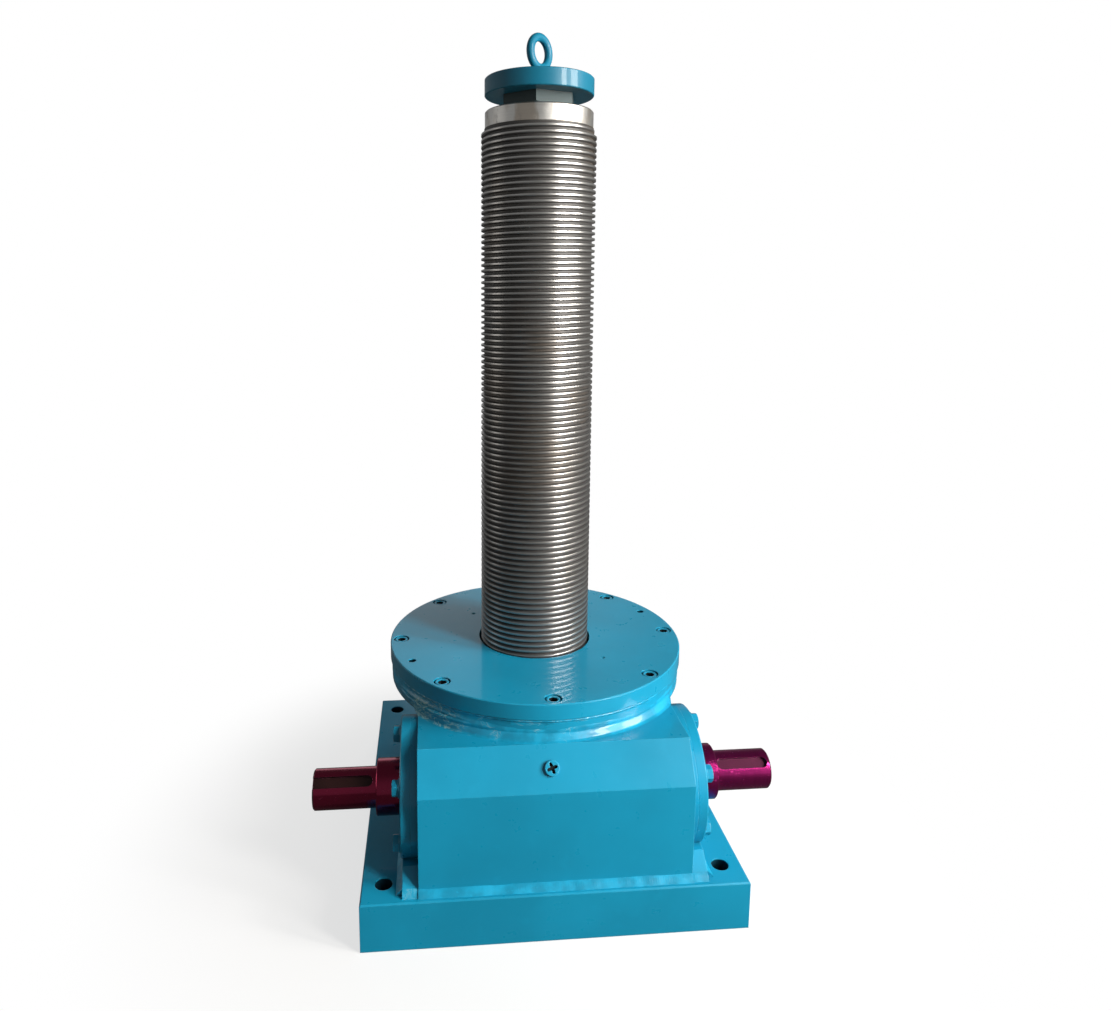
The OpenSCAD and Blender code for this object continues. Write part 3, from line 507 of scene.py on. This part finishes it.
def add_piece(name, points, faces, materials, body, smooth_angle, face_materials=None):
    """Adds a mesh piece that rides on a body, smooth but for edges sharper than smooth_angle."""
    mesh = bpy.data.meshes.new(name)
    mesh.from_pydata(points, [], faces)
    for material in materials:
        mesh.materials.append(material)
    if face_materials:
        mesh.polygons.foreach_set("material_index", face_materials)
    mesh.shade_smooth()
    mesh.set_sharp_from_angle(angle=math.radians(smooth_angle))
    mesh.validate()
    piece = bpy.data.objects.new(name, mesh)
    bpy.context.scene.collection.objects.link(piece)
    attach(piece, body)
    return piece


def coat(nodes, material):
    """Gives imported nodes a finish."""
    for node in nodes:
        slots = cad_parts[node].material_slots
        for entry in slots:
            entry.material = material
        if not slots:
            raise RuntimeError(f"{node} has no material slot")


def polar_ring(angles, radius, height):
    """Points round the z axis. Radius and height are numbers, or functions of the angle in degrees."""
    ring = []
    for angle in angles:
        out = radius(angle) if callable(radius) else radius
        up = height(angle) if callable(height) else height
        turn = math.radians(angle)
        ring.append((out * math.cos(turn), out * math.sin(turn), up))
    return ring


def even_angles(count):
    return [360 * j / count for j in range(count)]


def loft(rings):
    """Points and faces of a closed skin through rings of equal length, with a face at each end."""
    count = len(rings[0])
    points = [p for ring in rings for p in ring]
    faces = []
    for i in range(len(rings) - 1):
        for j in range(count):
            a = i * count + j
            b = i * count + (j + 1) % count
            faces.append((a, b, b + count, a + count))
    faces.append(tuple(reversed(range(count))))
    faces.append(tuple(range((len(rings) - 1) * count, len(rings) * count)))
    return points, faces


def moved(points, matrix):
    return [tuple(matrix @ Vector(p)) for p in points]


def joined(parts):
    """Joins (points, faces, face_materials) parts into one."""
    points, faces, kinds = [], [], []
    for part_points, part_faces, part_kinds in parts:
        start = len(points)
        points += part_points
        faces += [tuple(start + i for i in face) for face in part_faces]
        kinds += part_kinds
    return points, faces, kinds


def hexagon_radius(flats, turn):
    """Distance from the middle to the side of a hexagon, at an angle in degrees."""
    return flats / 2 / math.cos(math.radians((turn % 60) - 30))


# ---------- pieces ----------

def thread_profile(pitch, depth, outer):
    """Corners of one turn as (radius, height), from root to root, with rounded crest edges."""
    root = outer - depth
    crest = 0.366 * pitch
    flank = depth * math.tan(math.radians(15))
    round_off = 0.45 * MM
    corner = 0.12 * MM
    start = (pitch - crest - 2 * flank) / 2
    return [
        (root, 0.0),
        (root, start - 0.2 * MM),
        (root + 0.3 * MM, start + 0.1 * MM),
        (outer - round_off, start + flank - corner),
        (outer - corner, start + flank + corner),
        (outer, start + flank + round_off),
        (outer, start + flank + crest - round_off),
        (outer - corner, start + flank + crest - corner),
        (outer - round_off, start + flank + crest + corner),
        (root + 0.3 * MM, start + 2 * flank + crest - 0.1 * MM),
        (root, start + 2 * flank + crest + 0.2 * MM),
    ]


def build_lifting_screw():
    """The lifting screw with its true helical thread, plain collar and stud."""
    s = sizes()
    steps = 96
    outer = screw_high.x
    root = outer - s.thread_depth
    profile = thread_profile(s.thread_pitch, s.thread_depth, outer)
    width = len(profile)
    total = steps * (s.thread_turns - 1)
    run_out = steps / 6
    chamfer = 2 * MM
    points = []
    for i in range(total + steps + 1):
        turn = 2 * math.pi * i / steps
        rise = screw_low.z + s.thread_pitch * i / steps
        ramp = max(0.0, min(1.0, i / run_out, (total - i) / run_out))
        cos, sin = math.cos(turn), math.sin(turn)
        if i <= total:
            for radius, height in profile:
                radius = root + (radius - root) * ramp
                points.append((radius * cos, radius * sin, rise + height))
        else:
            points.append((root * cos, root * sin, rise))

    def circle(radius, height):
        turns = [2 * math.pi * i / steps for i in range(steps)]
        return [(radius * math.cos(turn), radius * math.sin(turn), height) for turn in turns]

    def at(i, j):
        """Index of the profile's corner j at step i. Past the thread's end only the root goes on."""
        if j == width:
            i, j = i + steps, 0
        return i * width + j if i <= total else (total + 1) * width + (i - total - 1)

    faces = [
        (at(i, j), at(i + 1, j), at(i + 1, j + 1), at(i, j + 1))
        for i in range(total) for j in range(width)
    ]
    # A chamfer joins the foot's flat face to the first turn
    first = [at(i, 0) for i in range(steps)]
    lower = len(points)
    points += circle(root - chamfer, screw_low.z)
    for i in range(steps):
        after = lower + (i + 1) % steps
        if i < steps - 1:
            faces.append((lower + i, after, first[i + 1], first[i]))
        else:
            seam = [at(0, j) for j in range(width + 1)]
            faces.append((lower + i, after, *seam, first[i]))
    faces.append(tuple(reversed(range(lower, lower + steps))))
    # Above the last turn the root runs up to the plain collar, and the collar up to the stud
    top_first = [at(total + i, 0) for i in range(steps)]
    plain = root - 1 * MM
    thread_top = screw_low.z + s.thread_pitch * s.thread_turns
    plain_top = thread_top + s.plain_length
    rings = [
        (root, thread_top), (plain, thread_top + 0.6 * MM), (plain, plain_top - chamfer),
        (plain - chamfer, plain_top), (s.stud_radius, plain_top), (s.stud_radius, screw_high.z),
    ]
    kinds = [0] * len(faces)
    base = len(points)
    for radius, height in rings:
        points += circle(radius, height)
    for i in range(steps):
        after = (i + 1) % steps
        if i < steps - 1:
            faces.append((top_first[i], top_first[i + 1], base + i + 1, base + i))
        else:
            end = at(total + steps, 0)
            seam = [at(total, j) for j in range(width)]
            faces.append((top_first[i], end, *reversed(seam[1:]), seam[0], base + after, base + i))
        kinds.append(0)
    for k in range(len(rings) - 1):
        for i in range(steps):
            a = base + k * steps + i
            b = base + k * steps + (i + 1) % steps
            faces.append((a, b, b + steps, a + steps))
            kinds.append(1)
    faces.append(tuple(base + (len(rings) - 1) * steps + i for i in range(steps)))
    kinds.append(1)
    bright = finish(turned_steel, "bright_collar", tuple(colours().bright), 0.34, 2, 0.6)
    piece = add_piece(
        "lifting_screw_thread", points, faces, [finish(oiled_thread), bright],
        "screw", 40.0, kinds)
    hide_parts("lifting_screw")


def weld_sections(stations, leg, ripple, seed):
    """Rings of a rippled fillet weld. A station is (corner, rise, reach): the inner corner and
    the directions up the one plate and out along the other."""
    shift = random.Random(seed).uniform(0, 50)
    arc = 7
    roughness = 0.02
    ripple_height = 0.012
    swell_rate, grain_rate = 22, 90
    rings = []
    length = 0.0
    before = None
    for corner, rise, reach in stations:
        if before is not None:
            length += (corner - before).length
        before = corner
        slow = noise.noise(Vector((length * swell_rate + shift, seed, 0.0)))
        quick = noise.noise(Vector((length * grain_rate + shift, 0.0, seed)))
        size = leg * (1 + 0.14 * slow + roughness * quick)
        ring = [corner]
        for k in range(arc):
            angle = math.pi / 2 * k / (arc - 1)
            bow = math.sin(2 * angle)
            lag = (length / ripple + 0.42 * bow + 0.25 * slow) % 1.0
            scallop = ripple_height * (1 - lag) ** 1.5 * (0.3 + bow)
            cos, sin = math.cos(angle), math.sin(angle)
            radius = size * (1 / (cos + sin) * (1 + 0.08 * bow) + scallop)
            ring.append(corner + reach * (radius * cos) + rise * (radius * sin))
        rings.append([tuple(p) for p in ring])
    return rings


def straight_stations(start, end, rise, reach, step):
    """Stations of a straight weld, a step apart."""
    start, end = Vector(start), Vector(end)
    count = max(2, int((end - start).length / step))
    return [(start.lerp(end, i / count), Vector(rise), Vector(reach)) for i in range(count + 1)]


def build_seam_welds():
    """Rippled fillet welds that join the housing and its foot bars to the base plate."""
    s = sizes()
    half = s.housing_half_width
    foot = weld_high.x - s.weld_leg
    front = weld_low.y + s.weld_leg
    rear = weld_high.y - s.weld_leg
    base = plate_high.z
    foot_half = (bearing_cover_high.y - bearing_cover_low.y) / 2 + FOOT_MARGIN
    foot_front = SHAFT_Y - foot_half
    foot_rear = SHAFT_Y + foot_half
    up = (0, 0, 1)
    step = s.weld_ripple / 5
    lines = [
        ((-half, front, base), (half, front, base), (0, -1, 0)),
        ((half, rear, base), (-half, rear, base), (0, 1, 0)),
    ]
    for side in (-1, 1):
        outward = (side, 0, 0)
        lines += [
            ((side * half, foot_front, base), (side * foot, foot_front, base), (0, -1, 0)),
            ((side * foot, foot_front, base), (side * foot, foot_rear, base), outward),
            ((side * foot, foot_rear, base), (side * half, foot_rear, base), (0, 1, 0)),
            ((side * half, foot_rear, base), (side * half, rear, base), outward),
        ]
    parts = []
    for number, (start, end, reach) in enumerate(lines):
        stations = straight_stations(start, end, up, reach, step)
        points, faces = loft(weld_sections(stations, s.weld_leg, s.weld_ripple, number + 1))
        parts.append((points, faces, [0] * len(faces)))
    points, faces, _ = joined(parts)
    piece = add_piece(
        "seam_welds", points, faces, [finish(weld_enamel)],
        "gearbox", 60.0)
    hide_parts("weld_beads")


def build_neck_weld():
    """Weld passes over the neck's outside: a full fillet on the housing's top, a wavy band above it
    and a thin bead under the rim, smooth at the right and rough at the left front."""
    s = sizes()
    top = cover_high.z - COVER_THICKNESS
    bottom = top - s.neck_height
    slope_edge = weld_low.y + s.weld_leg + SLOPE_RUN
    steps = 900
    rows = 30
    inner = s.neck_radius - 6 * MM
    limit = cover_high.x - 0.4 * MM
    film = 0.9 * MM
    toe_reach = 11 * MM
    rough_side = math.radians(140)
    bead_place, bead_width = 0.96, 0.07
    rings = []
    for i in range(steps):
        turn = 2 * math.pi * i / steps
        direction = Vector((math.cos(turn), math.sin(turn), 0.0))
        beside = s.housing_half_width - abs(s.neck_radius * direction.x)
        on_plate = max(0.0, min(1.0, (beside + 6 * MM) / (14 * MM)))
        left = max(0.0, math.cos(turn + rough_side)) ** 12
        rough = (0.35 + 0.75 * left) * MM
        spot = direction * s.neck_radius
        wander = noise.noise(spot * 9)
        ripple = abs(math.sin(turn * s.neck_radius / s.weld_ripple * 0.8))
        ring = [direction * inner + Vector((0, 0, bottom))]
        for k in range(rows + 1):
            v = k / rows
            height = bottom + s.neck_height * v
            fillet = max(0.0, 1 - v / (0.34 + 0.05 * wander))
            hollow = 1 - math.sqrt(max(0.0, 1 - fillet ** 2))
            toe = (toe_reach + 2 * MM * wander) * on_plate * hollow
            toe += 2.2 * MM * on_plate * fillet * (1 - fillet) * 4 * (1 + 0.3 * wander)
            toe += 6 * MM * left * math.sin(math.pi * min(1.0, 0.12 + v)) ** 2
            bead = max(0.0, 1 - ((v - bead_place) / bead_width) ** 2)
            bead = bead * (1.9 + 0.7 * (1 - ripple) + 0.5 * wander) * MM
            lump = noise.fractal(Vector((spot.x * 34, spot.y * 34, height * 52)), 1.0, 2.0, 4)
            passes = 0.5 * math.cos(2 * math.pi * (v * 2.2 + 0.25 * wander))
            ridge = 1 - abs(lump)
            middle = max(0.0, math.sin(math.pi * min(1.0, v * 1.04)))
            extra = rough * (1.1 * lump + 0.6 * ridge * left) * (0.35 + 0.65 * middle)
            radius = s.neck_radius + film + toe + bead + extra + passes * MM * middle
            radius = min(radius, limit) if v > 0.5 else radius
            if direction.y < 0 and k < 3:
                radius = min(radius, slope_edge / direction.y)
            ring.append(direction * radius + Vector((0, 0, height)))
        ring.append(direction * inner + Vector((0, 0, top)))
        rings.append([tuple(p) for p in ring])
    count = len(rings[0])
    points = [p for ring in rings for p in ring]
    faces = []
    for i in range(steps):
        after = (i + 1) % steps
        for j in range(count):
            up = (j + 1) % count
            faces.append((i * count + j, after * count + j, after * count + up, i * count + up))
    add_piece(
        "neck_weld", points, faces, [finish(weld_enamel)],
        "gearbox", 60.0)


def socket_screw(diameter, shank):
    """A cap screw standing on z = 0: knurled head, hexagon socket and plain shank."""
    segments = 48
    head = 0.75 * diameter
    top = diameter
    socket = 0.85 * diameter
    socket_mouth = socket / 2 / math.cos(math.radians(30)) + 0.7 * MM
    knurl_depth = 0.25 * MM

    def knurl(angle):
        return head - knurl_depth * (0.5 + 0.5 * math.cos(math.radians(angle * segments / 2)))

    def wall(angle):
        return hexagon_radius(socket, angle)

    outline = [
        (diameter / 2, -shank),
        (diameter / 2, 0.0),
        (knurl, 0.0),
        (knurl, 0.72 * top),
        (head, 0.80 * top),
        (head, top - 1.1 * MM),
        (head - 0.9 * MM, top - 0.1 * MM),
        (head - 1.6 * MM, top),
        (socket_mouth, top),
        (wall, top - 0.9 * MM),
        (wall, top - 0.55 * diameter),
        (lambda angle: 0.4 * wall(angle), top - 0.66 * diameter),
    ]
    points, faces = loft([polar_ring(even_angles(segments), *corner) for corner in outline])
    # Painted shade from the top of the socket's wall inwards, but for the shank's end
    shade_from = 9 * segments
    kinds = [1 if i >= shade_from else 0 for i in range(len(faces))]
    kinds[-2] = 0
    return points, faces, kinds


def hexagon_bolt(flats, height):
    """A hexagon bolt head on its washer, standing on z = 0, with chamfered corners."""
    segments = 48
    top_radius = 0.475 * flats
    chamfer = math.tan(math.radians(28))
    washer = 2.5 * MM
    washer_radius = 0.62 * flats
    washer_edge = 0.5 * MM

    def side(angle):
        return hexagon_radius(flats, angle)

    def shoulder(angle):
        return washer + height - (side(angle) - top_radius) * chamfer

    outline = [
        (washer_radius, 0.0),
        (washer_radius, washer - washer_edge),
        (washer_radius - washer_edge, washer),
        (side, washer),
        (side, shoulder),
        (top_radius, washer + height),
    ]
    return loft([polar_ring(even_angles(segments), *corner) for corner in outline])


def build_filler_plug():
    """The filler plug on the sloping facet: an enamelled collar round a star-shaped recess in painted
    shade.
    """
    low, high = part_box("filler_plug")
    collar = 12 * MM
    proud = 5 * MM
    rounding = 0.9 * MM
    arms = 4
    arms_turned = 20
    cos, sin = math.cos(SLOPE_TILT), math.sin(SLOPE_TILT)
    seat = Vector((
        (low.x + high.x) / 2,
        low.y + collar * cos + proud * sin,
        high.z - collar * sin - proud * cos))

    def star(angle):
        return (6.0 + 2.8 * math.cos(math.radians(arms * (angle - arms_turned)))) * MM

    outline = [
        (collar, 0.0),
        (collar, proud - rounding),
        (collar - rounding, proud),
        (lambda angle: star(angle) + 0.5 * MM, proud),
        (star, proud - 0.6 * MM),
        (star, 0.6 * MM),
    ]
    rings = [polar_ring(range(0, 360, 5), *corner) for corner in outline]
    points, faces = loft(rings)
    painted = 4 * len(rings[0])
    kinds = [0 if i < painted else 1 for i in range(len(faces) - 2)] + [0, 1]
    points = moved(points, Matrix.Translation(seat) @ Matrix.Rotation(SLOPE_TILT, 4, "X"))
    piece = add_piece(
        "filler_plug_collar", points, faces,
        [finish(enamel), finish(recess_shade)], "gearbox", 30.0, kinds)
    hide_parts("filler_plug")


def z_turn(degrees):
    return Matrix.Rotation(math.radians(degrees), 4, "Z")


def build_cover_screws():
    """The ring of cap screws sunk in the top cover, painted over, with painted shade in the sockets."""
    s = sizes()
    low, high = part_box("cover_screws")
    circle = high.x - 0.75 * s.screw_head
    head_base = high.z - s.screw_head
    chance = random.Random(5)
    parts = []
    for number in range(COVER_SCREWS):
        twist = z_turn(chance.uniform(0, 60))
        spot = z_turn(number * 360 / COVER_SCREWS) @ Matrix.Translation((circle, 0, head_base)) @ twist
        points, faces, kinds = socket_screw(s.screw_head, head_base - low.z)
        parts.append((moved(points, spot), faces, kinds))
    points, faces, kinds = joined(parts)
    piece = add_piece(
        "cover_cap_screws", points, faces, [finish(enamel), finish(recess_shade)],
        "gearbox", 30.0, kinds)
    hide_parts("cover_screws")


def build_cover_bolts():
    """Five hexagon bolts on each bearing cover, painted with the housing. The lowest of six places
    stays empty, over the cover's flat."""
    s = sizes()
    circle = (bearing_cover_high.y - bearing_cover_low.y) / 2 - BOLT_INSET
    head_base = bearing_cover_high.x
    head_height = bolts_high.x - head_base
    shaft_place = Matrix.Translation((0, SHAFT_Y, SHAFT_Z)) @ Matrix.Rotation(math.radians(90), 4, "Y")
    seat = Matrix.Translation((circle, 0, head_base))
    mirror = Matrix.Scale(-1, 4, (1, 0, 0))
    chance = random.Random(9)
    for name in ("left", "right"):
        parts = []
        for number in range(1, BOLT_PLACES):
            twist = z_turn(chance.uniform(0, 60))
            spot = shaft_place @ z_turn(number * 360 / BOLT_PLACES) @ seat @ twist
            points, faces = hexagon_bolt(s.bolt_flats, head_height)
            if name == "left":
                spot = mirror @ spot
                faces = [tuple(reversed(face)) for face in faces]
            parts.append((moved(points, spot), faces, [0] * len(faces)))
        points, faces, _ = joined(parts)
        piece = add_piece(
            f"{name}_hexagon_bolts", points, faces, [finish(enamel)],
            "gearbox", 25.0)
        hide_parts(f"{name}_cover_bolts")


# ---------- stage ----------

def build_camera():
    """A camera in front, a little to the left and at the screw's upper half, looking slightly down."""
    data = bpy.data.cameras.new("camera")
    data.sensor_width = 36.0
    data.sensor_fit = "HORIZONTAL"
    data.lens = 26.94
    data.shift_x = 0.0459
    data.shift_y = -0.0797
    data.clip_start = 0.05
    spot = (-188.5 * MM, -1484.4 * MM, 1012.7 * MM)
    yaw, pitch, roll = 0.0877, -0.1556, 0.0034
    ahead = math.cos(pitch)
    forward = Vector((math.sin(yaw) * ahead, math.cos(yaw) * ahead, math.sin(pitch)))
    level = Vector((math.cos(yaw), -math.sin(yaw), 0.0))
    upright = level.cross(forward)
    right = math.cos(roll) * level + math.sin(roll) * upright
    up = -math.sin(roll) * level + math.cos(roll) * upright
    camera = bpy.data.objects.new("camera", data)
    camera.matrix_world = Matrix((
        (right.x, up.x, -forward.x, spot[0]),
        (right.y, up.y, -forward.y, spot[1]),
        (right.z, up.z, -forward.z, spot[2]),
        (0, 0, 0, 1),
    ))
    bpy.context.scene.collection.objects.link(camera)
    bpy.context.scene.camera = camera


def add_lamp(name, place, target, width, height, watts, mirrored=True, lighting=True):
    """An area lamp. One that isn't mirrored leaves no glint, and one that isn't lighting leaves
    nothing but a glint."""
    data = bpy.data.lights.new(name, "AREA")
    data.color = WARM_LIGHT
    data.shape = "RECTANGLE"
    data.size = width
    data.size_y = height
    data.energy = watts
    lamp = bpy.data.objects.new(name, data)
    lamp.location = place
    lamp.rotation_euler = (Vector(target) - Vector(place)).to_track_quat("-Z", "Y").to_euler()
    lamp.visible_glossy = mirrored
    lamp.visible_diffuse = lighting
    bpy.context.scene.collection.objects.link(lamp)


def ray_kinds(g):
    """Camera, glossy and transmission rays, each as a socket that is 1 for such a ray."""
    outputs = g.node("ShaderNodeLightPath").link.node.outputs
    names = ("Is Camera Ray", "Is Glossy Ray", "Is Transmission Ray")
    return [Socket(g, outputs[name]) for name in names]


def floor_finish():
    """Pale floor with the soft shadow kept close to the jack and white farther out. It throws
    little light back up, as a dull workshop floor does."""
    g = material_graph("pale_floor")
    x, y, _ = g.axes(g.place())
    reach = g.length(x + 0.05, y + 0.02)
    camera, glossy, through = ray_kinds(g)
    pale = g.node("ShaderNodeBsdfDiffuse", {"Color": (0.80, 0.80, 0.80)})
    dull = g.node("ShaderNodeBsdfDiffuse", {
        "Color": g.mix(glossy, (0.075, 0.08, 0.075), (0.035, 0.037, 0.035))})
    white = g.node("ShaderNodeEmission", {"Color": (1.0, 1.0, 1.0), "Strength": 1.0})
    whiteness = 0.70 + reach.between(0.40, 0.80) * 0.30
    shown = g.blend(whiteness, pale, white)
    both = g.blend(camera + through + glossy * 0.05, dull, shown)
    below = g.node("ShaderNodeNewGeometry", output=6)
    clear = g.node("ShaderNodeBsdfTransparent")
    one_sided = g.blend(below, both, clear)
    g.node("ShaderNodeOutputMaterial", {"Surface": one_sided})
    return g.owner


def build_world():
    """White behind the jack, and a dim workshop round it with a pale wall at the back left and a
    fainter one at the left. The walls show only in glossy surfaces."""
    g = Graph(bpy.data.worlds.new("workshop"))
    camera, glossy, through = ray_kinds(g)
    x, y, z = g.axes(g.node("ShaderNodeTexCoord", output="Generated"))
    back_left = (x * -0.42 + y * 0.90).between(0.62, 0.97) * x.between(-0.5, -0.3)
    wall = back_left * z.between(-0.05, 0.10) * (1 - (z - x * 1.2).between(0.490, 0.525))
    left_wall = (x * -1).between(0.2, 0.6) * z.between(-0.1, 0.1) * (1 - z.between(0.35, 0.5)) * 0.28
    right = (x * 0.95 - y * 0.3).between(0.2, 1.0)
    front = (y * -1).between(0.2, 0.9)
    level = (0.10 + right * 0.20 + front * 0.11) * z.between(-0.1, 0.0)
    dim = g.node("ShaderNodeBackground", {"Color": (0.93, 1.0, 1.0), "Strength": level})
    white = g.node("ShaderNodeBackground", {"Color": (1.0, 1.0, 1.0), "Strength": 1.0})
    mirrored = g.math("MAXIMUM", wall * 0.85, left_wall)
    both = g.blend(camera + through + glossy * mirrored, dim, white)
    g.node("ShaderNodeOutputWorld", {"Surface": both})
    bpy.context.scene.world = g.owner


def build_floor():
    """A floor that is open under the base plate, where the screw runs down into its pit. It is clear
    from below, and lets the lamps' light into the pit."""
    reach, pit = 9.0, 0.22
    level = -0.3 * MM
    corners = [(-1, -1), (1, -1), (1, 1), (-1, 1)]
    points = [(x * size, y * size, level) for size in (pit, reach) for x, y in corners]
    faces = [(i, i + 4, (i + 1) % 4 + 4, (i + 1) % 4) for i in range(4)]
    mesh = bpy.data.meshes.new("floor")
    mesh.from_pydata(points, [], faces)
    mesh.materials.append(floor_finish())
    floor = bpy.data.objects.new("floor", mesh)
    floor.visible_shadow = False
    bpy.context.scene.collection.objects.link(floor)


def build_stage():
    """The workshop, the floor, the lamps and the camera. The windows stand at the front right, and the
    strips only draw highlights on the thread and the shaft."""
    build_world()
    build_floor()
    add_lamp("window", (2.9, -1.17, 1.55), (0, 0, 0.45), 0.9, 1.2, 85)
    add_lamp("window_sun", (2.75, -1.6, 1.4), (0, 0, 0.45), 0.3, 0.4, 72, mirrored=False)
    add_lamp("glint_strip", (1.13, -2.19, 1.46), (0.33, -0.19, 0.18), 0.3, 0.06, 0.9)
    add_lamp("tall_window", (1.9, -2.0, 1.8), (0, 0, 0.8), 0.5, 1.9, 90)
    add_lamp("low_strip", (1.9, -2.0, 0.4), (0, 0, 0.4), 0.5, 0.9, 60, lighting=False)
    add_lamp("left_strip", (-2.6, 0.3, 0.9), (0, 0, 0.7), 1.0, 1.6, 5.5, lighting=False)
    add_lamp("rear_lamp", (0.5, 3.0, 0.75), (0, 0, 0.6), 1.4, 1.1, 62, mirrored=False)
    add_lamp("low_left_lamp", (-2.6, 1.5, 0.6), (0, 0, 0.5), 1.0, 0.8, 14, mirrored=False)
    build_camera()
    bpy.context.scene.view_settings.view_transform = "Standard"


# ---------- operators ----------

class JACK_OT_paint(bpy.types.Operator):
    """Paint the base plate, the housing, the covers, the top plate and the eye"""
    bl_idname = "jack.paint"
    bl_label = "Paint Castings and Plates"

    def execute(self, context):
        holes = tuple((side * BASE_HOLE_X, y, BASE_HOLE_RADIUS) for side in (-1, 1) for y in BASE_HOLES_Y)
        coat(["base_plate"], finish(enamel, "base_turquoise_enamel", 1.0, 1.0, holes, plate_high.z))
        x = JACKOUT_CIRCLE * math.cos(JACKOUT_TURN)
        y = JACKOUT_CIRCLE * math.sin(JACKOUT_TURN)
        holes = tuple((side * x, side * y, JACKOUT_RADIUS) for side in (-1, 1))
        coat(["top_cover"], finish(enamel, "cover_turquoise_enamel", 1.0, 1.0, holes, cover_high.z))
        coat(["gear_housing", "left_bearing_cover", "right_bearing_cover"], finish(enamel))
        # Painted shade: the top plate's enamel is a darker copy (0.55) of the housing's, for the light
        # falling off up there; the eye's is darker too (0.60)
        coat(["top_plate"], finish(enamel, "dark_turquoise_enamel", 0.55, 0.45))
        coat(["eye_bolt"], finish(enamel, "eye_turquoise_enamel", 0.60, 0.25))
        return {"FINISHED"}


class JACK_OT_thread(bpy.types.Operator):
    """Cut the helical thread of the lifting screw"""
    bl_idname = "jack.thread"
    bl_label = "Cut Lifting Screw"

    def execute(self, context):
        build_lifting_screw()
        return {"FINISHED"}


class JACK_OT_welds(bpy.types.Operator):
    """Lay the welds round the housing and the neck"""
    bl_idname = "jack.welds"
    bl_label = "Lay Welds"

    def execute(self, context):
        build_seam_welds()
        build_neck_weld()
        return {"FINISHED"}


class JACK_OT_fasteners(bpy.types.Operator):
    """Fit the cap screws, the hexagon bolts and the filler plug, and finish the small screws"""
    bl_idname = "jack.fasteners"
    bl_label = "Fit Fasteners"

    def execute(self, context):
        build_cover_screws()
        build_cover_bolts()
        build_filler_plug()
        coat(["grease_screws"], finish(enamel))
        coat(["stop_screws"], finish(plain_steel, "blackened_steel", BLACKENED_STEEL, 0.32, 0.9))
        return {"FINISHED"}


class JACK_OT_shaft(bpy.types.Operator):
    """Lacquer the worm shaft"""
    bl_idname = "jack.shaft"
    bl_label = "Lacquer Worm Shaft"

    def execute(self, context):
        coat(["worm_shaft"], finish(tinted_lacquer))
        return {"FINISHED"}


class JACK_OT_inner_works(bpy.types.Operator):
    """Finish the wheel, the bearings, the seals, the stop collar and the lock nut"""
    bl_idname = "jack.inner_works"
    bl_label = "Finish Inner Works"

    def execute(self, context):
        coat(["worm_wheel", "guide_bush", "lower_thrust_cage", "upper_thrust_cage",
              "left_roller_cage", "right_roller_cage"], finish(cast_bronze))
        coat(["lower_thrust_washer", "upper_thrust_washer", "lower_wheel_washer", "upper_wheel_washer",
              "lower_thrust_balls", "upper_thrust_balls"],
             finish(turned_steel, "ground_washer_steel", GROUND_STEEL, 0.16, 2, 0.05))
        coat(["left_bearing_cup", "right_bearing_cup", "left_bearing_cone", "right_bearing_cone",
              "left_bearing_rollers", "right_bearing_rollers"],
             finish(turned_steel, "ground_roller_steel", GROUND_STEEL, 0.16, 0, 0.05))
        coat(["left_shaft_seal", "right_shaft_seal", "wiper_ring"], finish(seal_rubber))
        coat(["stop_collar"], finish(turned_steel, "oiled_collar", OILED_STEEL, 0.34, 2, 0.4))
        # The lock nut's steel carries painted shade and a painted teal reflection
        coat(["lock_nut"], finish(plain_steel, "oiled_nut", SHADED_OILY_NUT, 0.50, 0.2))
        return {"FINISHED"}


class JACK_OT_stage(bpy.types.Operator):
    """Set the floor, the lamps and the camera"""
    bl_idname = "jack.stage"
    bl_label = "Set Stage"

    def execute(self, context):
        build_stage()
        return {"FINISHED"}


class JACK_PT_panel(bpy.types.Panel):
    """Sidebar panel with the sizes, the colours and the steps"""
    bl_idname = "JACK_PT_panel"
    bl_label = "Screw Jack"
    bl_space_type = "VIEW_3D"
    bl_region_type = "UI"
    bl_category = "Screw Jack"

    def draw(self, context):
        for group in (context.scene.jack_sizes, context.scene.jack_colours):
            column = self.layout.column(align=True)
            for name in group.__annotations__:
                column.prop(group, name)
        for operator in OPERATORS:
            self.layout.operator(operator.bl_idname)


OPERATORS = (
    JACK_OT_stage, JACK_OT_paint, JACK_OT_thread, JACK_OT_welds, JACK_OT_fasteners,
    JACK_OT_shaft, JACK_OT_inner_works,
)
CLASSES = (JackSizes, JackColours, *OPERATORS, JACK_PT_panel)


def register():
    for entry in CLASSES:
        bpy.utils.register_class(entry)
    bpy.types.Scene.jack_sizes = PointerProperty(type=JackSizes)
    bpy.types.Scene.jack_colours = PointerProperty(type=JackColours)


def unregister():
    del bpy.types.Scene.jack_colours
    del bpy.types.Scene.jack_sizes
    for entry in reversed(CLASSES):
        bpy.utils.unregister_class(entry)


def main():
    register()
    bpy.ops.jack.stage()
    bpy.ops.jack.paint()
    bpy.ops.jack.thread()
    bpy.ops.jack.welds()
    bpy.ops.jack.fasteners()
    bpy.ops.jack.shaft()
    bpy.ops.jack.inner_works()


if __name__ == "__main__":
    main()
